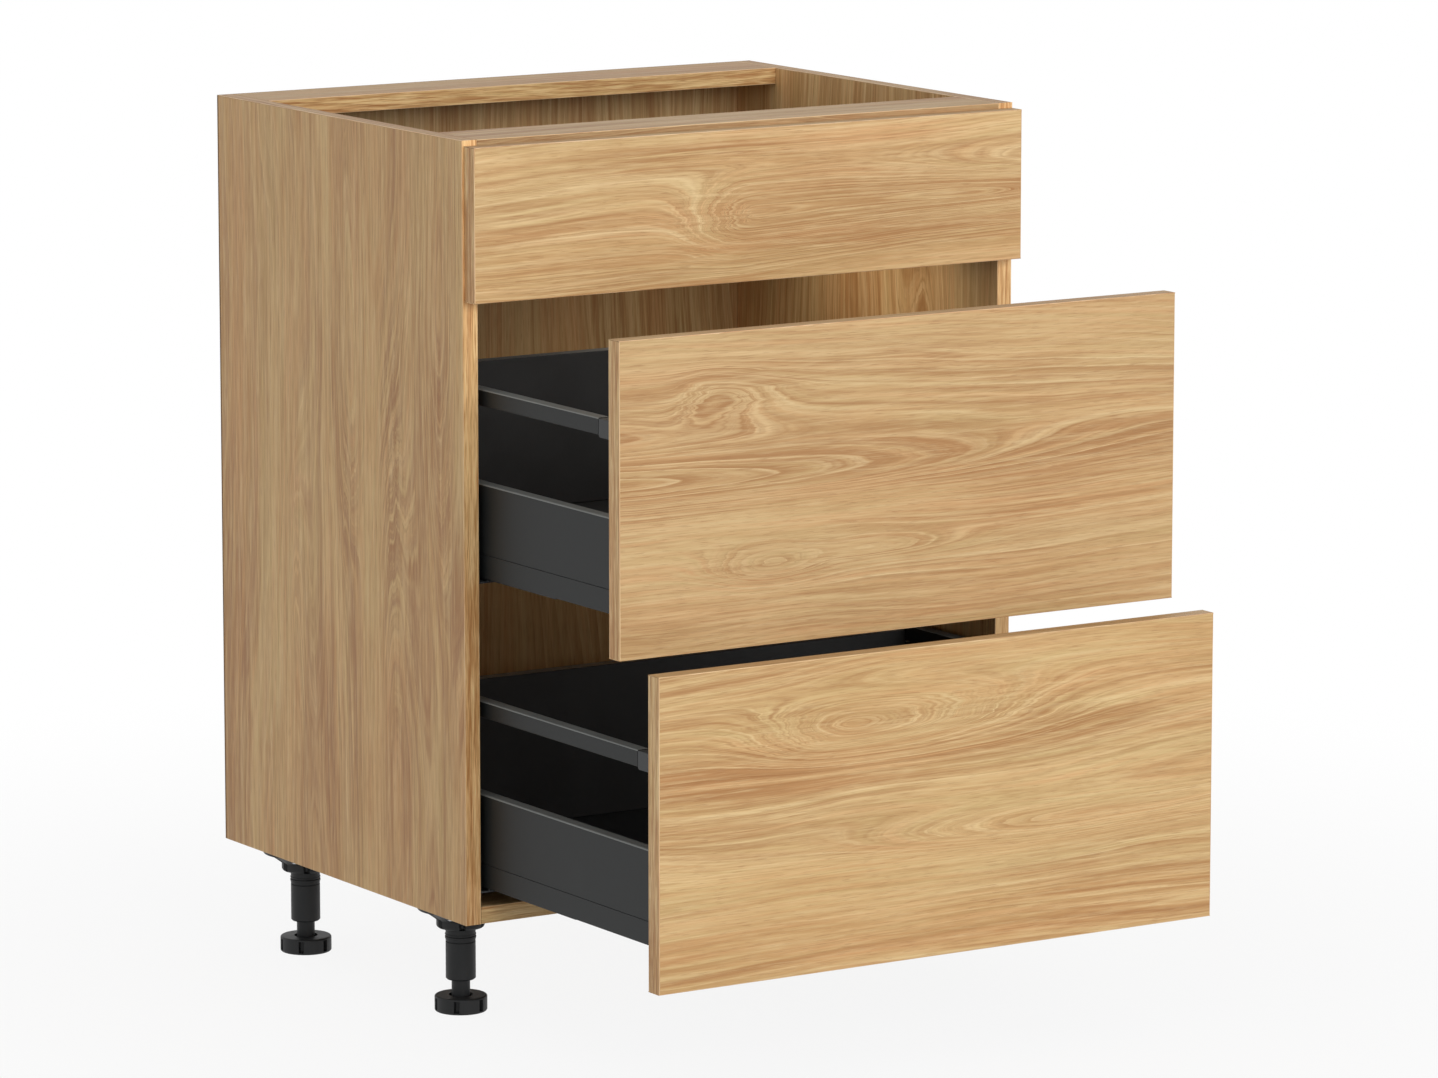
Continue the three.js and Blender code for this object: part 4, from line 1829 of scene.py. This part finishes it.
@dataclass
class SteelSide:
    """The folded steel side of a drawer, with a post for the high back of a deep drawer."""

    drawer: str
    hand: Hand
    deep: bool
    sheet: float = 1.2 * MM
    deep_wall: float = 86 * MM
    width: float = 13 * MM
    strip_height: float = 24.5 * MM
    strip_end: float = 30.7 * MM
    ledge_top: float = 8.2 * MM
    ledge: float = 18 * MM
    bend: float = 1.4 * MM
    crease: float = 21.5 * MM
    crease_depth: float = 0.9 * MM
    crease_half: float = 0.7 * MM
    closing_play: tuple[float, float] = (0.05 * MM, 0.1 * MM)
    post_depth: float = 16 * MM
    post_round: float = 1 * MM
    shade_lean: float = 0.3

    def build(self) -> None:
        """Builds the side and hands it over."""
        node = f"drawer_{self.drawer}_side_{self.hand.word}"
        box = Box.of(node)
        outer = box.side(self.hand)
        corner = Vector((outer, box.low.y, box.low.z))
        place = along_axes(corner, self.hand.inward, UPWARD, REARWARD)
        half, bend = self.sheet / 2, self.bend
        wall_height = self.deep_wall if self.deep else box.size.z
        top = wall_height - half
        strip = self.strip_height - half
        ledge = self.ledge_top - half
        path = [
            (half, 0.0),
            (half, self.crease - self.crease_half),
            (half + self.crease_depth, self.crease),
            (half, self.crease + self.crease_half),
            (half, top, bend),
            (self.width - half, top, bend),
            (self.width - half, strip, bend),
            (self.strip_end - half, strip, bend),
            (self.strip_end - half, ledge, bend),
            (self.strip_end + self.ledge, ledge),
        ]
        blank = Blank()
        faces = blank.bar(thickened(round_corners(path), self.sheet), place, box.size.y)
        lowest_bend = box.low.z + self.strip_height + self.bend
        # Painted light on the flat tops and a painted highlight on the upper bends.
        blank.mark_tops(faces, SteelSlot.TOP, SteelSlot.BEND, lowest_bend)
        # Painted shade on the crease's flank that faces down.
        for face in faces:
            if face.normal.z < -self.shade_lean and abs(face.normal.x) > self.shade_lean:
                face.material_index = SteelSlot.SHADE
        near_play, far_play = self.closing_play
        closing = [(self.sheet + near_play, strip), (self.width - self.sheet - far_play, strip)]
        blank.bar(thickened(closing, self.sheet), place, box.size.y)
        if self.deep:
            left = min(outer, outer + self.hand.inward.x * self.width)
            low = Vector((left, box.high.y - self.post_depth, box.low.z + wall_height - half))
            post = Box(low, Vector((left + self.width, box.high.y, box.high.z)))
            faces = blank.block(post, self.post_round, 3)
            blank.mark_tops(faces, SteelSlot.TOP, SteelSlot.BEND)
        deliver(blank.piece(f"{node}_steel", STEEL_FINISHES, 40), "graphite_steel", node)


@dataclass
class Railing:
    """A rectangular tube above the steel side, held on the front by a plastic holder."""

    drawer: str
    hand: Hand
    corner: float = 1.6 * MM
    wall: float = 1.0 * MM
    slope: float = 1.5 * MM
    softened: float = 0.7 * MM

    def build(self) -> None:
        """Builds the tube and its holder and hands them over."""
        node = f"drawer_{self.drawer}_railing_{self.hand.word}"
        box = Box.of(node)
        size = box.size
        place = along_axes(box.low, RIGHTWARD, UPWARD, REARWARD)
        outline = rounded_rectangle(size.x, size.z, self.corner)
        hollow = rounded_rectangle(size.x, size.z, self.corner, self.wall)
        blank = Blank()
        faces = blank.bar(outline, place, size.y, hollow)
        # Painted light on the tube's top and a painted highlight on its upper corners.
        blank.mark_tops(faces, SteelSlot.TOP, SteelSlot.BEND)
        deliver(blank.piece(f"{node}_tube", STEEL_FINISHES, 40), "graphite_steel", node)
        self._holder()

    def _holder(self) -> None:
        """Builds the holder: a moulded block whose underside slopes up to the tube."""
        node = f"drawer_{self.drawer}_railing_holder_{self.hand.word}"
        box = Box.of(node)
        length, height = box.size.y, box.size.z
        sloping = ((length - self.slope, 0.0), (length, self.slope))
        outline = ((0.0, 0.0), *sloping, (length, height), (0.0, height))
        place = along_axes(box.low, REARWARD, UPWARD, RIGHTWARD)
        blank = Blank()
        faces = blank.soften(blank.bar(outline, place, box.size.x), self.softened, 3)
        # Painted light on the holder's top.
        blank.mark_tops(faces, 1)
        made = blank.piece(f"{node}_moulding", (GRAPHITE_PLASTIC, PLASTIC_TOP_LIT), 40)
        deliver(made, "graphite_plastic", node)


@dataclass
class Runner:
    """A full-extension runner: its three steel members, its balls and its screws."""

    drawer: str
    hand: Hand
    sheet: float = 1.5 * MM
    screw_places: tuple[float, ...] = (37 * MM, 261 * MM, 400 * MM)
    screw_drop: float = 6 * MM
    screw_head: tuple[float, float, float] = (3.8 * MM, 1.5 * MM, 11.0)
    ball_pitch: float = 6 * MM
    ball_inset: float = 6 * MM
    ball_side: float = 6.1 * MM
    ball_drop: float = 3.2 * MM
    balls: int = 12

    def build(self) -> None:
        """Dresses the members and adds the balls and screws."""
        start = f"runner_{self.drawer}_{self.hand.word}"
        for member in ("cabinet_member", "middle_member", "drawer_member"):
            materials = frame["nodes"][f"{start}_{member}"].data.materials
            materials.clear()
            # The members take the zinc darkened as painted shade.
            materials.append(material_of(SHADED_ZINC))
        fixed = Box.of(f"{start}_cabinet_member")
        middle = Box.of(f"{start}_middle_member")
        screws = ScrewHeads(f"{start}_screws", BRIGHT_ZINC, *self.screw_head)
        made = screws.build(self._screw_spots(fixed))
        deliver(made, "zinc_steel", f"{start}_cabinet_member", instead=False)
        made = Balls(f"{start}_balls", BRIGHT_ZINC).build(self._ball_spots(middle))
        deliver(made, "zinc_steel", f"{start}_middle_member", instead=False)

    def _screw_spots(self, fixed: Box) -> list[Spot]:
        """The screws in the cabinet member's flange.

        Args:
            fixed: The cabinet member's box.

        Returns:
            The spots.
        """
        face = fixed.side(self.hand) + self.hand.inward.x * self.sheet
        height = fixed.high.z - self.screw_drop
        places = [Vector((face, fixed.low.y + place, height)) for place in self.screw_places]
        return [Spot(place, self.hand.inward) for place in places]

    def _ball_spots(self, middle: Box) -> list[Spot]:
        """Two rows of balls at each end of the middle member.

        Args:
            middle: The middle member's box.

        Returns:
            The spots.
        """
        spots = []
        row = self.ball_pitch * (self.balls - 1)
        for start in (middle.low.y + self.ball_inset, middle.high.y - self.ball_inset - row):
            for number in range(self.balls):
                for side in (-1, 1):
                    x = middle.middle.x + side * self.ball_side
                    y = start + number * self.ball_pitch
                    spots.append(Spot(Vector((x, y, middle.high.z - self.ball_drop)), UPWARD))
        return spots


@dataclass
class Drawer:
    """A drawer: decor front, black floor and back, steel sides, railings and runners."""

    name: str
    decor: WoodDecor
    layer: float
    deep: bool = True
    front_arris: float = 0.75 * MM

    def build(self) -> None:
        """Builds every piece of the drawer."""
        DecorBoard(
            f"drawer_{self.name}_front",
            "front_decor",
            Axis.ACROSS,
            Axis.DEPTH,
            (TOP, BOTTOM, LEFT_EDGE, RIGHT_EDGE),
            self.decor,
            self.layer,
            arris=self.front_arris,
        ).build()
        BlackDrawerBoard(f"drawer_{self.name}_floor", upright=False).build()
        BlackDrawerBoard(f"drawer_{self.name}_back", upright=True).build()
        for hand in Hand:
            SteelSide(self.name, hand, self.deep).build()
            if self.deep:
                Railing(self.name, hand).build()
            Runner(self.name, hand).build()


# ---- Studio -------------------------------------------------------------------------------------


@dataclass(frozen=True)
class ClearingPaper(Finish):
    """White floor paper that clears towards the sky round the cabinet and keeps its shadow."""

    name: str = "studio_floor"
    tone: Colour = srgb(205, 205, 205)
    fade_start: float = 0.35
    fade_end: float = 1.6
    clear_near: float = 0.9
    fibres_per_metre: float = 300.0
    relief: float = 0.1 * MM

    def sockets(self, tree: Tree) -> dict[str, object]:
        """Lays the matt paper.

        Args:
            tree: The material's tree.

        Returns:
            The shader's values.
        """
        relief = tree.bump(tree.noise(tree.own_place(), self.fibres_per_metre), self.relief)
        matt = {"Roughness": 0.9, "Specular IOR Level": 0.0}
        return {"Base Color": self.tone, "Normal": relief, **matt}

    def shader(self, tree: Tree) -> Wire:
        """Mixes the paper with a clear shader, by the distance and for what is seen.

        Args:
            tree: The material's tree.

        Returns:
            The mixed shader.
        """
        length = {"operation": "LENGTH"}
        away = tree.node("ShaderNodeVectorMath", length, {0: tree.own_place()}, "Value")
        share = away.step(self.fade_start, self.fade_end, self.clear_near, 1.0) * tree.white_seen()
        clear = tree.node("ShaderNodeBsdfTransparent", {}, {"Color": (1, 1, 1, 1)})
        return tree.node("ShaderNodeMixShader", {}, {0: share, 1: super().shader(tree), 2: clear})


@dataclass(frozen=True)
class Softbox:
    """A soft square lamp."""

    name: str
    place: Vector
    aim: Vector
    size: float
    power: float
    colour: tuple[float, float, float] = (1.0, 1.0, 1.0)

    def build(self) -> None:
        """Adds the lamp."""
        data = bpy.data.lights.new(self.name, "AREA")
        data.size = self.size
        data.energy = self.power
        data.color = self.colour
        lamp = linked(self.name, data)
        lamp.location = self.place
        lamp.rotation_euler = (self.aim - self.place).to_track_quat("-Z", "Y").to_euler()
        lamp.visible_camera = False


@dataclass
class Studio:
    """A white floor with the cabinet's soft shadow, a soft sky, two lamps and the camera."""

    floor_radius: float = 40.0
    floor_steps: int = 96
    sky: float = 0.59
    lamps: tuple[Softbox, ...] = (
        Softbox("front_softbox", Vector((0.3, -7.0, 2.6)), Vector((0.0, -0.1, 0.45)), 4.0, 245.0),
        Softbox(
            "inner_fill",
            Vector((0.165, 0.12, 0.679)),
            Vector((0.165, 0.12, 0.0)),
            0.24,
            0.3,
            (1.0, 0.9, 0.78),
        ),
    )
    camera_place: Vector = Vector((-3.54748, -5.60463, 1.54671))
    camera_tilt: float = 0.168
    camera_turn: float = -0.5661
    focal_length: float = 180.28
    sensor_width: float = 36.0

    def build(self) -> None:
        """Builds the floor, the sky, the lamps and the camera."""
        self._floor()
        self._sky()
        for lamp in self.lamps:
            lamp.build()
        self._camera()

    def _floor(self) -> None:
        """Adds the round floor, a single sheet that faces up."""
        blank = Blank()
        for face in blank.turned([(0.0, 0.0), (self.floor_radius, 0.0)], Vector(), self.floor_steps):
            if face.normal.z < 0:
                face.normal_flip()
        blank.piece("studio_floor", (ClearingPaper(),))

    def _sky(self) -> None:
        """Lights the world softly, and shows it white."""
        world = bpy.data.worlds.new("studio_sky")
        world.use_nodes = True
        bpy.context.scene.world = world
        tree = Tree(world.node_tree)
        strength = tree.white_seen() * (1.0 - self.sky) + self.sky
        back = tree.node("ShaderNodeBackground", {}, {"Color": (1, 1, 1, 1), "Strength": strength})
        tree.node("ShaderNodeOutputWorld", {}, {"Surface": back})

    def _camera(self) -> None:
        """Sets the camera at the photograph's angle."""
        data = bpy.data.cameras.new("camera")
        data.lens = self.focal_length
        data.sensor_width = self.sensor_width
        camera = linked("camera", data)
        camera.location = self.camera_place
        camera.rotation_euler = (math.pi / 2 - self.camera_tilt, 0.0, self.camera_turn)
        bpy.context.scene.camera = camera


def main() -> None:
    """Builds the cabinet's parts in order, then the studio."""
    logging.basicConfig(level=logging.INFO, format="%(message)s")
    bpy.context.scene.view_settings.view_transform = "Standard"
    Carcass().build()
    for row in ("front", "rear"):
        for hand in Hand:
            Leg(row, hand).build()
    Drawer("top", TOP_FRONT_DECOR, 100.0, deep=False).build()
    Drawer("middle", MIDDLE_FRONT_DECOR, 200.0).build()
    Drawer("bottom", BOTTOM_FRONT_DECOR, 300.0).build()
    Studio().build()


if __name__ == "__main__":
    main()
